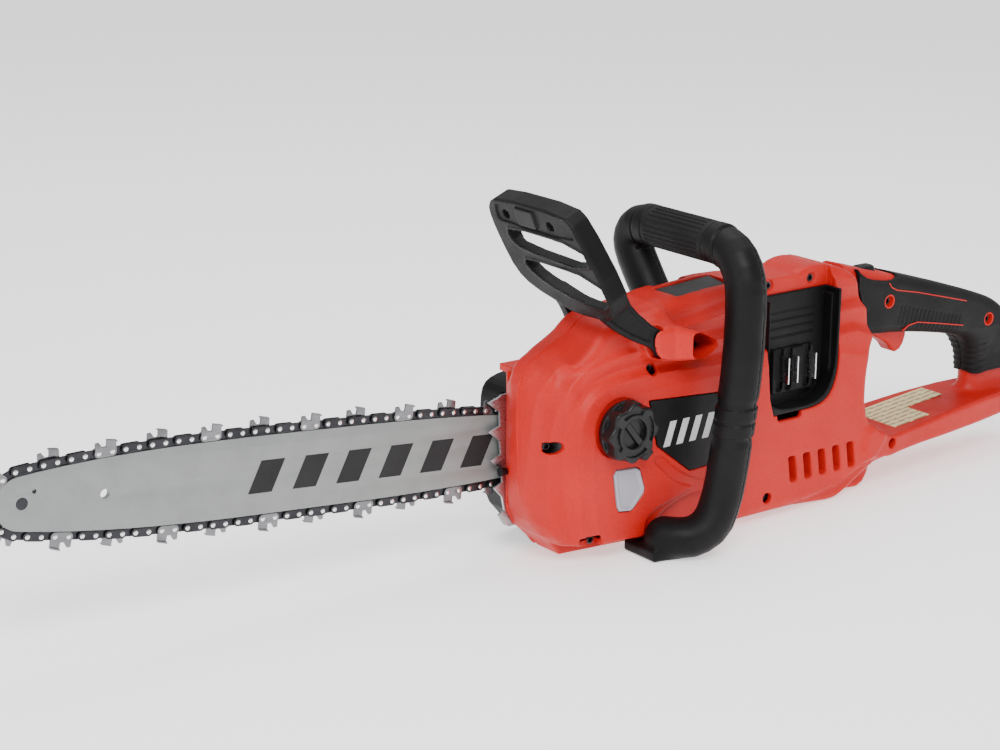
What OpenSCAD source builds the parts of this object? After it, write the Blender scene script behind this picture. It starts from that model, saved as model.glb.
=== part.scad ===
// Cordless rear-handle chainsaw with two side battery bays. Millimetres, +Z up.
// +X runs from the bar's tip to the rear handle, -Y is the saw's left side (oil cap and front handle leg).
// The origin is on the ground below the drive spindle, in the middle plane of the guide bar.

/* [Bar and chain] */
// Drive links in the chain loop; sets the bar's length
drive_links = 56; // [48:1:68]
// Mean distance from one chain rivet to the next
rivet_pitch = 9.31; // [8.2:0.01:9.6]
// Tilt of the bar, its tip raised above the ground plane
bar_tilt = 5; // [3:0.5:6]
// Thickness of the guide bar
bar_t = 4; // [3.4:0.1:4.8]
// Half the distance between the upper and lower rivet lines at the bar's widest place
chain_half_h = 30; // [27:0.5:31]
// Rail to rivet-line distance
rail_drop = 3.4; // [3:0.1:3.6]
// Diameter of the bar studs
stud_d = 8; // [6:0.1:9.6]
// Distance between the two bar studs
stud_pitch = 26; // [24:1:30]
// Travel of the bar along its slot
tension_travel = 8; // [5:0.5:9]

/* [Body] */
// Height of the drive spindle above the ground
spindle_z = 70; // [66:1:74]
// Width of the housing from left wall to right wall
body_w = 76; // [76:1:92]
// Middle plane of the body and of the rear handle, left of the bar
mid_offset = 28; // [26:1:30]
// Wall of the moulded shells
wall = 3; // [2.5:0.1:3.6]
// Depth of a battery bay, from the outer wall to its back plate
bay_depth = 15; // [12:0.5:18]
// Length of a battery bay along the body
bay_len = 73; // [61:1:76]

/* [Handles and guard] */
// Diameter of the front handle tube
tube_d = 30; // [25:1:32]
// Height of the front grip's axis
grip_z = 218; // [206:1:224]
// Distance from the middle plane to the near leg's axis
leg_reach = 70; // [64:1:84]
// Width of the rear handle
rear_grip_w = 38; // [34:1:40]
// Width of the hand guard at its top
guard_w = 104; // [96:1:110]

/* [Drive] */
// Gear module
gear_m = 1.5; // [1.4:0.05:1.6]
// Teeth of the drive gear
gear_teeth = 40; // [36:4:44]
// Teeth of the motor pinion
pinion_teeth = 10; // [10:1:10]
// Diameter of the motor's stator
motor_d = 56; // [46:1:58]
// Diameter of the spindle
spindle_d = 10; // [8:0.5:12]
// Diameter of the motor shaft
shaft_d = 8; // [6.5:0.1:9.6]

/* [Hidden] */

fit = 0.05;            // running clearance on a radius
gap = 0.3;             // free gap between bodies
mid_y = -mid_offset;
left_y = mid_y - body_w / 2;
right_y = mid_y + body_w / 2;
face_y = -6;           // right face of the housing behind the bar
cover_y = 36;          // outer face of the sprocket cover
bay_x = 97;            // front edge of the bays
bay_z = 80;            // floor of the bays
spine_z = 168;         // top of the bay's back plate
bay_back = left_y + bay_depth;

// Chain loop, in the bar's own frame: sprocket centre at the origin, x towards the rear
sprocket_r = rivet_pitch / (2 * sin(180 / 12));
nose_r = rivet_pitch / (2 * sin(180 / 14));
taper = 8;             // angle of the chain where it leaves the nose
tail_taper = 7;        // angle of the chain where it meets the sprocket
// centre distance that the loop's length leaves after both wraps and the runs' bulge
centre_len = (drive_links * 2 * rivet_pitch - 180 * PI / 180 * (nose_r + sprocket_r)) / 2 - 1.1;
bar_mid = -centre_len / 2;
stud_x = -50;          // rear stud, along the bar from the spindle
pin_h = -14.5;           // height of the tension pin's hole, in the bar's frame
pin_x = stud_x - 12;
motor_dir = atan2(22.5, 30);
motor_reach = gear_m * (gear_teeth + pinion_teeth) / 2;
motor_x = motor_reach * cos(motor_dir);
motor_z = spindle_z + motor_reach * sin(motor_dir);
gear_y0 = -20;
gear_y1 = -12;
cap_x = -40;
cap_z = 98;
pivot_x = -10;
pivot_z = 155;
grip_x = 45;
seat_z = 150;          // floor of the far leg's seat
foot_t = 9;            // thickness of the front handle's foot
foot_screw = [-12, mid_y - 28];
trigger_x = 236;
trigger_z = 124;
tube_r = tube_d / 2;
screw_r = 2;
head_r = 3.4;
// housing screws: x, z, then the Y of the screw head's seat, of the boss's left end and of its right end
screw_sites = [[-9, 134, left_y + 12, left_y + 1, face_y - 1], [-89, 89, left_y + 8, left_y + 6, face_y - 1],
               [-57, 17, left_y + 8, left_y + 1, face_y - 1], [102, 18, left_y + 8, left_y + 1, right_y - 2],
               [232, 36, left_y + 12, left_y + 10, mid_y + 15], [374, 42, mid_y - 14, mid_y - 16, mid_y + 15],
               [240, 143, mid_y - 13, mid_y - 15, mid_y + 15], [354, 112, mid_y - 13, mid_y - 15, mid_y + 15],
               [112, 174, bay_back + 2, bay_back, mid_y + 22], [154, 174, bay_back + 2, bay_back, mid_y + 22]];

red = "#d8392b";
black = "#1c1c1e";

// ---------- helpers ----------
// a side-view outline (x to the rear, z up) as a slab from y0 to y1
module slab(y0, y1) { translate([0, y1, 0]) rotate([90, 0, 0]) linear_extrude(y1 - y0) children(); }
// a cylinder along Y
module ycyl(x, z, y0, y1, r) { translate([x, y1, z]) rotate([90, 0, 0]) cylinder(h = y1 - y0, r = r, $fn = 48); }
// places children in the bar's frame
module on_bar() { translate([0, 0, spindle_z]) rotate([0, bar_tilt, 0]) children(); }
// repeats a left-hand shape on the right of the middle plane
module to_right() { translate([0, 2 * mid_y, 0]) mirror([0, 1, 0]) children(); }
// a flat bar with round ends from a to b
module link2d(a, b, r) {
  d = b - a;
  translate(a) circle(r = r, $fn = 32);
  translate(b) circle(r = r, $fn = 32);
  translate((a + b) / 2) rotate(atan2(d[1], d[0])) square([norm(d), 2 * r], center = true);
}

// arm from a to a round end at b, a little narrower than the end
module lug2d(a, b, r) {
  d = b - a;
  translate(b) circle(r = r, $fn = 32);
  translate((a + b) / 2) rotate(atan2(d[1], d[0])) square([norm(d), 1.8 * r], center = true);
}

// ---------- chain path ----------
function hermite(a, ta, b, tb, u) =
  a * (2 * u * u * u - 3 * u * u + 1) + ta * (u * u * u - 2 * u * u + u)
  + b * (3 * u * u - 2 * u * u * u) + tb * (u * u * u - u * u);
// upper half of the loop at a distance d inside the rivet line, from the nose's tip to the sprocket's rear
function half_path(d) =
  let (rn = nose_r - d, rs = sprocket_r - d,
       n = [-centre_len, 0] + rn * [-sin(taper), cos(taper)],
       m = [bar_mid, chain_half_h - d],
       s = rs * [sin(tail_taper), cos(tail_taper)],
       la = norm(m - n), lb = norm(s - m))
  concat([for (k = [0 : 16]) let (a = 180 - k * (90 - taper) / 16) [-centre_len, 0] + rn * [cos(a), sin(a)]],
         [for (k = [1 : 24]) hermite(n, la * [cos(taper), sin(taper)], m, la * [1, 0], k / 24)],
         [for (k = [1 : 24]) hermite(m, lb * [1, 0], s, lb * [cos(tail_taper), -sin(tail_taper)], k / 24)],
         [for (k = [1 : 16]) let (a = (90 - tail_taper) * (1 - k / 16)) rs * [cos(a), sin(a)]]);
function run_sums(p, i = 1, s = [0]) =
  i == len(p) ? s : run_sums(p, i + 1, concat(s, [s[i - 1] + norm(p[i] - p[i - 1])]));
half_pts = half_path(0);
half_sum = run_sums(half_pts);
half_len = half_sum[len(half_sum) - 1];
rivets = drive_links * 2;
// point at a distance s round the loop; the lower half is the upper one turned over
function upper_at(s) = let (i = max([for (k = [0 : len(half_sum) - 2]) if (half_sum[k] <= s + 1e-9) k]),
  u = (s - half_sum[i]) / (half_sum[i + 1] - half_sum[i])) half_pts[i] * (1 - u) + half_pts[i + 1] * u;
function loop_at(s) = s <= half_len ? upper_at(s) : let (p = upper_at(2 * half_len - s)) [p[0], -p[1]];
rivet_at = [for (k = [0 : rivets]) loop_at((k % rivets) * 2 * half_len / rivets)];
// puts children at the link that joins rivets k and k + 1: x along the chain, y outwards
module at_link(k) {
  a = rivet_at[k];
  b = rivet_at[k + 1];
  translate((a + b) / 2) rotate(atan2(b[1] - a[1], b[0] - a[0])) children();
}

// ---------- outlines of the body ----------
body_outline = [[-90, 14], [-98, 40], [-102, 128], [-94, 145], [-59, 155], [-20, 168], [6, 176], [63, 181],
                [128, 184], [164, 181], [182, 155], [197, 126], [197, 69], [212, 48], [228, 42], [228, 22],
                [218, 5], [208, 0], [-66, 0]];
handle_outline = [[160, 180], [204, 173], [263, 157], [313, 142], [341, 133], [367, 123], [383, 108],
                  [390, 88], [396, 45], [338, 45], [340, 70], [335, 94], [325, 103], [262, 116], [222, 119],
                  [190, 124], [165, 140]];
plate_outline = [[200, 30], [228, 25], [246, 27], [385, 34], [410, 36], [414, 48], [398, 51], [330, 50],
                 [245, 42], [228, 42], [205, 56]];
module side(points, inset = 0) { offset(r = 5, $fn = 24) offset(delta = -5 - inset) polygon(points); }

module plate_plan() {
  polygon([[196, left_y], [230, left_y], [300, left_y + 6], [412, left_y + 16], [416, mid_y], [196, mid_y]]);
}
// solid left half, outside shape only
module left_solid() {
  slab(left_y + 12, mid_y) side(body_outline);
  slab(left_y + 6, left_y + 12) side(body_outline, 4);
  slab(left_y, left_y + 6) side(body_outline, 9);
  slab(mid_y - rear_grip_w / 2 + 3, mid_y) side(handle_outline);
  intersection() {
    slab(left_y - 1, mid_y) polygon(plate_outline);
    linear_extrude(100) plate_plan();
  }
}
// hollow of the left half
module left_hollow() {
  difference() {
    union() {
      slab(left_y + 12, mid_y + 1) side(body_outline, wall);
      slab(left_y + wall, left_y + 13) side(body_outline, 9 + wall);
    }
    // the rear column stays walled towards the handle
    translate([bay_x + bay_len, left_y - 1, bay_z - 4]) cube([40, bay_depth + 4, 120]);
  }
  slab(mid_y - rear_grip_w / 2 + 6, mid_y + 1) side(handle_outline, 3.5);
}
module bay_cut() {
  translate([bay_x, left_y - 1, bay_z]) cube([bay_len, bay_depth + 1, 140]);
  translate([bay_x + 16, left_y - 1, bay_z - 8]) cube([bay_len - 36, bay_depth + 1, 10]);
  translate([bay_x, left_y - 1, bay_z]) cube([bay_len, bay_depth + 4, spine_z - bay_z]);
}
// wall above the bay's back plate
module bay_spine() {
  translate([bay_x, bay_back, spine_z]) cube([bay_len, wall, 12]);
}
vent_n = 5;
module vents() {
  for (k = [0 : vent_n - 1])
    slab(left_y - 1, left_y + 14) translate([122 + 15 * k, 0])
      polygon([[0, 46], [7, 46], [10, 26], [3, 26]]);
}
module trigger_room() {
  translate([trigger_x - 12, mid_y - 9, 96]) cube([52, 18, 42]);
  translate([216, mid_y - 7.5, 155]) cube([24, 15, 25]);
}
module left_bosses() {
  for (s = screw_sites) ycyl(s[0], s[1], s[3], mid_y, 5.2);
}
module screw_bores(y_end) {
  for (s = screw_sites) {
    ycyl(s[0], s[1], left_y - 3, s[2], head_r + gap);
    ycyl(s[0], s[1], s[2] - 1, y_end, screw_r + fit);
  }
}

// ---------- shells ----------
module left_housing() color(red) {
  difference() {
    union() {
      difference() {
        left_solid();
        left_hollow();
        bay_cut();
      }
      bay_spine();
      left_bosses();
      // guard lug
      ycyl(pivot_x, pivot_z, left_y - 3, left_y + 16, 9);
      handle_foot_box();
    }
    vents();
    trigger_room();
    screw_bores(mid_y + 1);
    ycyl(cap_x, cap_z, left_y - 1, left_y + 20, 19);
    ycyl(pivot_x, pivot_z, left_y - 4, left_y + 17, 4 + fit);
    slab(left_y - 1, left_y + wall + 7) polygon([[-46, 69], [-21, 67], [-15, 46], [-28, 34], [-41, 36]]);
    // recess of the side panel
    slab(left_y - 1, left_y + 1.6) side_panel_outline(gap);
    ycyl(motor_x, motor_z, left_y + wall, left_y + 5, 11);
    handle_foot_room();
  }
}
module right_cut() {
  // room for the bar, chain and sprocket cover
  translate([-110, face_y, 0]) cube([178, 60, 134]);
  // slot of the guard's far arm
  translate([-56, -10, 126]) cube([64, 14, 60]);
}
module right_housing() color(red) {
  difference() {
    union() {
      difference() {
        union() {
          difference() { to_right() left_solid(); to_right() left_hollow(); to_right() bay_cut(); }
          to_right() bay_spine();
        }
        right_cut();
      }
      // wall behind the bar, with the bosses of the studs and of the front bearing
      slab(face_y - wall, face_y) intersection() {
        side(body_outline);
        translate([-110, 0]) square([181, 134]);
      }
      // thicker wall behind the spike bumper
      translate([-97, face_y - wall - 3, 14]) cube([33, 5, 110]);
      // step towards the right battery bay
      translate([68, face_y - wall, 6]) cube([wall, right_y - face_y + wall - 9, 160]);
      for (s = screw_sites) ycyl(s[0], s[1], mid_y, s[4], 5.2);
      // rib under the boss beside the guard's tail
      translate([-12, face_y - 8, 102]) cube([6, 5.5, 34]);
      on_bar() for (k = [0, 1]) ycyl(stud_x - k * stud_pitch, 0, mid_y + 6, face_y - 1, stud_d / 2 + 4);
      ycyl(0, spindle_z, gear_y1 + 0.5, face_y, 17);
      handle_seat_box();
      // floor over the sprocket cover
      translate([-97, face_y - 1, 131]) cube([170, right_y - face_y, 5]);
    }
    for (s = screw_sites) ycyl(s[0], s[1], mid_y - 1, mid_y + 13, screw_r + fit);
    on_bar() for (k = [0, 1]) ycyl(stud_x - k * stud_pitch, 0, mid_y, face_y + 1, stud_d / 2 + fit);
    ycyl(0, spindle_z, gear_y1 - 1, face_y - 1, 13 + fit);
    ycyl(0, spindle_z, face_y - 2, face_y + 1, spindle_d / 2 + 2);
    // pocket of the spike bumper and the way of the guard's tail
    translate([-112, face_y - 2, 19.5]) cube([42.5, 3, 101]);
    translate([-24, -10, 110]) cube([40, 14, 20]);
    // tension screw and the pin's travel
    on_bar() {
      translate([-110, -14, pin_h]) rotate([0, 90, 0]) cylinder(h = 40, r = 3.2, $fn = 32);
      translate([pin_x - 4, -18, pin_h - 4]) cube([tension_travel + 8, 20, 8]);
    }
    to_right() trigger_room();
    translate([-56, -10, 126]) cube([64, 14, 60]);
    ycyl(pivot_x, pivot_z, -20, right_y + 1, 4 + fit);
    to_right() vents();
    handle_seat_room();
  }
}
module sprocket_cover() color(black) {
  cover = [[-66, 8], [-85, 30], [-89, 60], [-89, 103], [-86, 115], [-77, 120], [-62, 122], [-40, 130],
           [67, 130], [67, 30], [50, 0], [-50, 0]];
  difference() {
    slab(face_y + gap, cover_y) side(cover);
    slab(face_y - 1, cover_y - wall) side(cover, wall);
    // open front for the bar and chain, and the chip outlet below
    on_bar() translate([-130, face_y - 1, -36]) cube([50, 17, 72]);
    translate([64, face_y - 1, 20]) cube([5, 24, 40]);
    translate([-56, -10, 120]) cube([64, 14, 20]);
    on_bar() for (k = [0, 1]) ycyl(stud_x - k * stud_pitch, 0, cover_y - 5, cover_y + 1, stud_d / 2 + gap);
  }
  // pad that clamps the bar
  difference() {
    on_bar() slab(bar_t / 2, cover_y - wall) translate([stud_x - stud_pitch - 8, -9]) square([stud_pitch + 16, 18]);
    on_bar() for (k = [0, 1]) ycyl(stud_x - k * stud_pitch, 0, 0, cover_y, stud_d / 2 + gap);
  }
}
module bar_plate() color("silver") {
  on_bar() difference() {
    slab(face_y, -bar_t / 2) translate([stud_x - stud_pitch - 10, -10]) square([stud_pitch + 20, 20]);
    for (k = [0, 1]) ycyl(stud_x - k * stud_pitch, 0, face_y - 1, 0, stud_d / 2 + fit);
  }
}
module bar_studs() color("silver") on_bar() for (k = [0, 1]) {
  ycyl(stud_x - k * stud_pitch, 0, mid_y + 3, cover_y + 9, stud_d / 2);
  ycyl(stud_x - k * stud_pitch, 0, mid_y + 1, mid_y + 6, stud_d / 2 + 3);
}
module bar_nuts() color("silver") on_bar() for (k = [0, 1])
  difference() {
    translate([stud_x - k * stud_pitch, cover_y + 8, 0]) rotate([90, 0, 0])
      cylinder(h = 8, d = 15, $fn = 6);
    ycyl(stud_x - k * stud_pitch, 0, cover_y - 1, cover_y + 9, stud_d / 2);
  }

// ---------- bar and chain ----------
module bar_outline() {
  rail = [for (p = half_path(rail_drop)) if (p[0] < -46) p];
  last = rail[len(rail) - 1];
  polygon(concat(rail, [[-36, last[1] - 7], [-28, last[1] - 12], [-28, -last[1] + 12], [-36, -last[1] + 7]],
                 [for (k = [len(rail) - 1 : -1 : 1]) [rail[k][0], -rail[k][1]]]));
}
module guide_bar() color("silver") on_bar() difference() {
  slab(-bar_t / 2, bar_t / 2) bar_outline();
  // slot of the studs, oil holes, tension pin hole, lightening hole
  slab(-bar_t, bar_t) link2d([stud_x - stud_pitch - tension_travel - 2, 0], [stud_x + 3, 0], stud_d / 2 + 0.2);
  ycyl(pin_x, pin_h, -bar_t, bar_t, 3 + fit);
  ycyl(pin_x, -pin_h, -bar_t, bar_t, 3);
  ycyl(-centre_len + 56, 0, -bar_t, bar_t, 3.2);
  ycyl(-centre_len + 8, 7, -bar_t, bar_t, 1.5);
  // the nose sprocket's pocket and its axle hole
  ycyl(-centre_len, 0, -0.9, 0.9, nose_r);
  ycyl(-centre_len, 0, -bar_t, bar_t, 4);
  // groove that guides the drive links
  difference() {
    slab(-0.8, 0.8) bar_outline();
    slab(-1, 1) offset(delta = -5) bar_outline();
  }
}
module nose_sprocket() color("gray") on_bar() {
  slab(-0.8, 0.8) translate([-centre_len, 0]) difference() {
    union() {
      circle(r = nose_r - 10, $fn = 48);
      for (k = [0 : 6]) rotate(k * 360 / 7) translate([0, -1.5]) square([nose_r - 7.6, 3]);
    }
  }
  ycyl(-centre_len, 0, -bar_t / 2, bar_t / 2, 4 - fit);
}
module link_holes() {
  for (s = [-1, 1]) translate([s * rivet_pitch / 2, 0]) circle(r = 1.55, $fn = 16);
}
module chain_drive_links() color("dimgray") on_bar() slab(-0.65, 0.65)
  for (k = [0 : 2 : rivets - 2]) at_link(k) difference() {
    polygon([[-7, 2.4], [7, 2.4], [7.2, 0], [6.2, -2.4], [3.6, -3], [0.5, -6.6], [-1.6, -6.6], [-3.6, -3],
             [-6.2, -2.4], [-7.2, 0]]);
    link_holes();
  }
cutter_side = function (k) ((k - 1) / 2) % 4;    // 0: near cutter, 2: far cutter, odd: plain straps
module strap() {
  difference() {
    link2d([-rivet_pitch / 2, 0], [rivet_pitch / 2, 0], 2.9);
    link_holes();
  }
}
module chain_straps() color("#202020") on_bar() for (k = [1 : 2 : rivets - 1]) {
  if (cutter_side(k) != 0) slab(-2.1, -0.75) at_link(k) strap();
  if (cutter_side(k) != 2) slab(0.75, 2.1) at_link(k) strap();
}
module cutter_plate() difference() {
  union() {
    link2d([-rivet_pitch / 2, 0], [rivet_pitch / 2, 0], 2.9);
    polygon([[-7, 1], [-6.8, 6.6], [-4.4, 7], [-2, 3.6], [0.6, 3.6], [1, 8.6], [7.4, 7.4], [7.4, 1]]);
  }
  link_holes();
}
module chain_cutters() color("silver") on_bar() for (k = [1 : 2 : rivets - 1]) {
  if (cutter_side(k) == 0) {
    slab(-2.1, -0.75) at_link(k) cutter_plate();
    slab(-3.9, -2.1) at_link(k) polygon([[1, 8.6], [1, 7.4], [7.4, 6.3], [7.4, 7.4]]);
  }
  if (cutter_side(k) == 2) {
    slab(0.75, 2.1) at_link(k) cutter_plate();
    slab(2.1, 3.9) at_link(k) polygon([[1, 8.6], [1, 7.4], [7.4, 6.3], [7.4, 7.4]]);
  }
}
module chain_rivets() color("silver") on_bar() for (k = [0 : rivets - 1])
  ycyl(rivet_at[k][0], rivet_at[k][1], -2.5, 2.5, 1.5);

// ---------- drive ----------
// involute flank: half angle of a tooth at radius r
function inv(a) = tan(a) - a * PI / 180;
function tooth_half(z, m, r, slack) = let (rb = z * m / 2 * cos(20), a = r <= rb ? 0 : acos(rb / r))
  90 / z - slack + (inv(20) - inv(a)) * 180 / PI;
module gear2d(z, m, slack) {
  rp = z * m / 2;
  rf = rp - 1.2 * m;
  ra = rp + 0.8 * m;
  radii = [for (k = [0 : 5]) rf + (ra - rf) * k / 5];
  circle(r = rf + 0.02, $fn = 64);
  for (t = [0 : z - 1]) rotate(t * 360 / z)
    polygon(concat([for (r = radii) let (h = tooth_half(z, m, r, slack)) r * [cos(h), sin(h)]],
                   [for (k = [5 : -1 : 0]) let (r = radii[k], h = tooth_half(z, m, r, slack)) r * [cos(h), -sin(h)]],
                   [[0.6 * rf, -0.3], [0.6 * rf, 0.3]]));
}
module drive_gear() color("gray") difference() {
  slab(gear_y0, gear_y1) translate([0, spindle_z]) rotate(motor_dir + 180 / gear_teeth)
    gear2d(gear_teeth, gear_m, 0.35);
  ycyl(0, spindle_z, gear_y0 - 1, gear_y1 + 1, spindle_d / 2);
}
module pinion() color("gray") difference() {
  slab(gear_y0, gear_y1) translate([motor_x, motor_z]) rotate(motor_dir + 180)
    gear2d(pinion_teeth, gear_m, 0.9);
  ycyl(motor_x, motor_z, gear_y0 - 1, gear_y1 + 1, 3);
}
module spindle() color("silver") {
  ycyl(0, spindle_z, -41, 26, spindle_d / 2);
  // small gear for the oil pump
  slab(-39, -32) translate([0, spindle_z]) rotate(270) difference() {
    gear2d(14, 1, 1.2);
    circle(r = spindle_d / 2 - 0.01, $fn = 48);
  }
}
pump_z = spindle_z - (14 + 22) / 2;
module pump_gear() color("gray") {
  slab(-39, -32) translate([0, pump_z]) rotate(90 + 180 / 22) gear2d(22, 1, 0.6);
  ycyl(0, pump_z, -50, -39, 3);
}
module oil_pump() color("dimgray") difference() {
  slab(-56, -40) translate([-14, pump_z - 12]) square([28, 22]);
  ycyl(0, pump_z, -51, -39, 3 + fit);
}
module rotor_shaft() color("silver") {
  ycyl(motor_x, motor_z, left_y + 5.4, gear_y0, shaft_d / 2);
  ycyl(motor_x, motor_z, gear_y0, gear_y1 + 0.4, 3);
}
module rotor_core() color("gray") difference() {
  ycyl(motor_x, motor_z, -54, -36, motor_d / 2 - 13);
  ycyl(motor_x, motor_z, -60, -30, shaft_d / 2);
}
module stator() color("dimgray") slab(-54, -36) translate([motor_x, motor_z]) difference() {
  circle(r = motor_d / 2, $fn = 96);
  circle(r = motor_d / 2 - 4, $fn = 96);
}
module windings() color("#b06a30") for (k = [0 : 8]) slab(-55, -35)
  translate([motor_x, motor_z]) rotate(20 + k * 40) translate([motor_d / 2 - 12, -5.5]) square([7.2, 11]);
module fan() color(black) difference() {
  union() {
    ycyl(motor_x, motor_z, -34, -32.5, motor_d / 2 - 2);
    ycyl(motor_x, motor_z, -34, -30, 9);
    slab(-32.6, -29) translate([motor_x, motor_z]) for (k = [0 : 10]) rotate(k * 360 / 11)
      translate([10, -0.8]) square([motor_d / 2 - 13, 1.6]);
  }
  ycyl(motor_x, motor_z, -40, -28, shaft_d / 2);
}
module gear_case() color("#9a9da0") slab(-27, -22) difference() {
  union() {
    translate([0, spindle_z]) circle(r = 24, $fn = 64);
    translate([motor_x, motor_z]) circle(r = 22, $fn = 64);
    translate([motor_x / 2, (spindle_z + motor_z) / 2]) rotate(motor_dir) square([motor_reach - 10, 30], center = true);
    lug2d([-12, spindle_z + 12], [-30, spindle_z + 30], 7);
    lug2d([motor_x + 8, motor_z + 15], [motor_x + 18, motor_z + 34], 7);
  }
  translate([0, spindle_z]) circle(r = 11, $fn = 64);
  translate([motor_x, motor_z]) circle(r = 11, $fn = 64);
}
module bearing(x, z, y0, y1, ri, ro) difference() {
  ycyl(x, z, y0, y1, ro);
  ycyl(x, z, y0 - 1, y1 + 1, ri);
}
module bearings() color("silver") {
  bearing(0, spindle_z, -27, -22, spindle_d / 2 + fit, 11);
  bearing(motor_x, motor_z, -27, -22, shaft_d / 2 + fit, 11);
  bearing(0, spindle_z, gear_y1 + 0.5, face_y - 1, spindle_d / 2 + fit, 13);
  bearing(motor_x, motor_z, left_y + wall, left_y + 8, shaft_d / 2 + fit, 11);
}
module drive_sprocket() color("gray") difference() {
  union() {
    ycyl(0, spindle_z, -4.5, 6.5, 10.6);
    // side rings that the straps ride on
    for (s = [-1, 1]) translate([0, s * 3.6, 0]) slab(-0.9, 0.9) translate([0, spindle_z])
      for (k = [0 : 6]) rotate(k * 360 / 7) translate([0, -3]) square([14, 6]);
  }
  ycyl(0, spindle_z, -6, 8, spindle_d / 2);
}
module brake_drum() color("dimgray") difference() {
  union() {
    difference() {
      ycyl(0, spindle_z, 7, 22, 31);
      ycyl(0, spindle_z, 9.5, 23, 28);
    }
    ycyl(0, spindle_z, 7, 22, 9);
  }
  ycyl(0, spindle_z, 6, 23, spindle_d / 2);
}
module brake_band() color("silver") {
  slab(10, 19) translate([0, spindle_z]) difference() {
    circle(r = 32.6, $fn = 96);
    circle(r = 31.6, $fn = 96);
    rotate(125) translate([0, -6]) square([50, 12]);
  }
  // fixed end of the band on the cover's wall
  translate([-26.4, 10, spindle_z + 26]) cube([1.2, 9, 14]);
}
module brake_link() color("gray") {
  // push plate behind the guard's tail, rod, and the foot beside the band's free end
  translate([-3, -5, 112]) cube([2, 17, 12]);
  translate([-3, 12, 112]) cube([32, 3, 6]);
  translate([26, 12, 108]) cube([3, 3, 6]);
}

// ---------- oil system ----------
module oil_tank() color("#3a3a3c") {
  difference() {
    union() {
      translate([-81, left_y + 5, 25]) cube([58, 27, 88]);
      ycyl(cap_x, cap_z, left_y - 1, left_y + 6, 17);
    }
    translate([-79, left_y + 7, 27]) cube([54, 23, 84]);
    ycyl(cap_x, cap_z, left_y - 2, left_y + 8, 14);
    slab(left_y, left_y + 8) polygon([[-43, 66], [-27, 64], [-26, 48], [-30, 38], [-40, 39]]);
  }
}
module oil_window() color("#c9ccd2") slab(left_y + 0.4, left_y + 5)
  polygon([[-45.5, 68.5], [-21.5, 66.5], [-15.6, 46], [-28.2, 34.6], [-40.6, 36.5]]);
module oil_filter() color("#8a8f90") {
  translate([-60, left_y + 18, 27]) cylinder(h = 14, r = 6, $fn = 32);
}
module oil_hose() color("#404448") {
  translate([-60, left_y + 18, 41]) cylinder(h = 8, r = 2.5, $fn = 24);
}
module cap_strap() color(black) slab(left_y - 3, left_y - 1) difference() {
  union() {
    translate([cap_x, cap_z]) circle(r = 20, $fn = 64);
    lug2d([cap_x + 8, cap_z - 8.4], [cap_x + 20, cap_z - 21], 5);
  }
  translate([cap_x, cap_z]) circle(r = 15.5, $fn = 64);
}
module oil_cap() color(black) difference() {
  union() {
    ycyl(cap_x, cap_z, left_y - 16, left_y - 3 - gap, 19);
    for (k = [0 : 7]) ycyl(cap_x + 18 * cos(k * 45), cap_z + 18 * sin(k * 45), left_y - 16, left_y - 3 - gap, 4.4);
    ycyl(cap_x, cap_z, left_y - 4, left_y + 4, 14 - fit);
  }
  ycyl(cap_x, cap_z, left_y - 17, left_y - 12, 10);
}
module cap_gasket() color("#303030") difference() {
  ycyl(cap_x, cap_z, left_y - 3 - gap, left_y - 1.3, 15.2);
  ycyl(cap_x, cap_z, left_y - 4, left_y, 14);
}

// ---------- handles ----------
function leg_y() = mid_y - max(leg_reach, body_w / 2 + 32);
// axis of the tube: forward foot, near leg, grip, far leg
tube_path = [[-22, leg_y() + 17, 14], [-8, leg_y() + 11, 14], [8, leg_y() + 5, 15], [21, leg_y() + 1, 24],
             [28, leg_y(), 38], [33, leg_y(), 62], [38, leg_y(), 96], [44, leg_y(), 140],
             [grip_x, leg_y(), grip_z - 32], [grip_x, leg_y() + 4, grip_z - 16], [grip_x, leg_y() + 13, grip_z - 5],
             [grip_x, leg_y() + 26, grip_z], [grip_x, leg_y() + 34, grip_z], [grip_x, mid_y + 30, grip_z],
             [grip_x, mid_y + 38, grip_z], [grip_x, mid_y + 50, grip_z - 3], [grip_x, mid_y + 57, grip_z - 12],
             [grip_x, mid_y + 55, grip_z - 22], [grip_x, mid_y + 25, seat_z + 9]];
function bezier_mid(p, k) = // rounds the path: two points a quarter in from each corner
  [p[k] * 0.75 + p[k + 1] * 0.25, p[k] * 0.25 + p[k + 1] * 0.75];
function smooth(p) = concat([p[0]], [for (k = [0 : len(p) - 2]) each bezier_mid(p, k)], [p[len(p) - 1]]);
tube_axis = smooth(tube_path);
function unit(v) = v / norm(v);
function tube_frame(p, k) = let (a = p[max(0, k - 1)], b = p[min(len(p) - 1, k + 1)], t = unit(b - a),
  n = unit(cross([1, 0, 0.02], t)), m = cross(t, n)) [n, m];
module tube(p, r, sides) {
  n = len(p);
  pts = [for (k = [0 : n - 1]) let (f = tube_frame(p, k)) for (j = [0 : sides - 1])
    p[k] + r * (cos(j * 360 / sides) * f[0] + sin(j * 360 / sides) * f[1])];
  faces = concat([[for (j = [0 : sides - 1]) j]],
                 [for (k = [0 : n - 2]) for (j = [0 : sides - 1])
                   [k * sides + j, (k + 1) * sides + j, (k + 1) * sides + (j + 1) % sides, k * sides + (j + 1) % sides]],
                 [[for (j = [sides - 1 : -1 : 0]) (n - 1) * sides + j]]);
  polyhedron(pts, faces);
}
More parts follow.
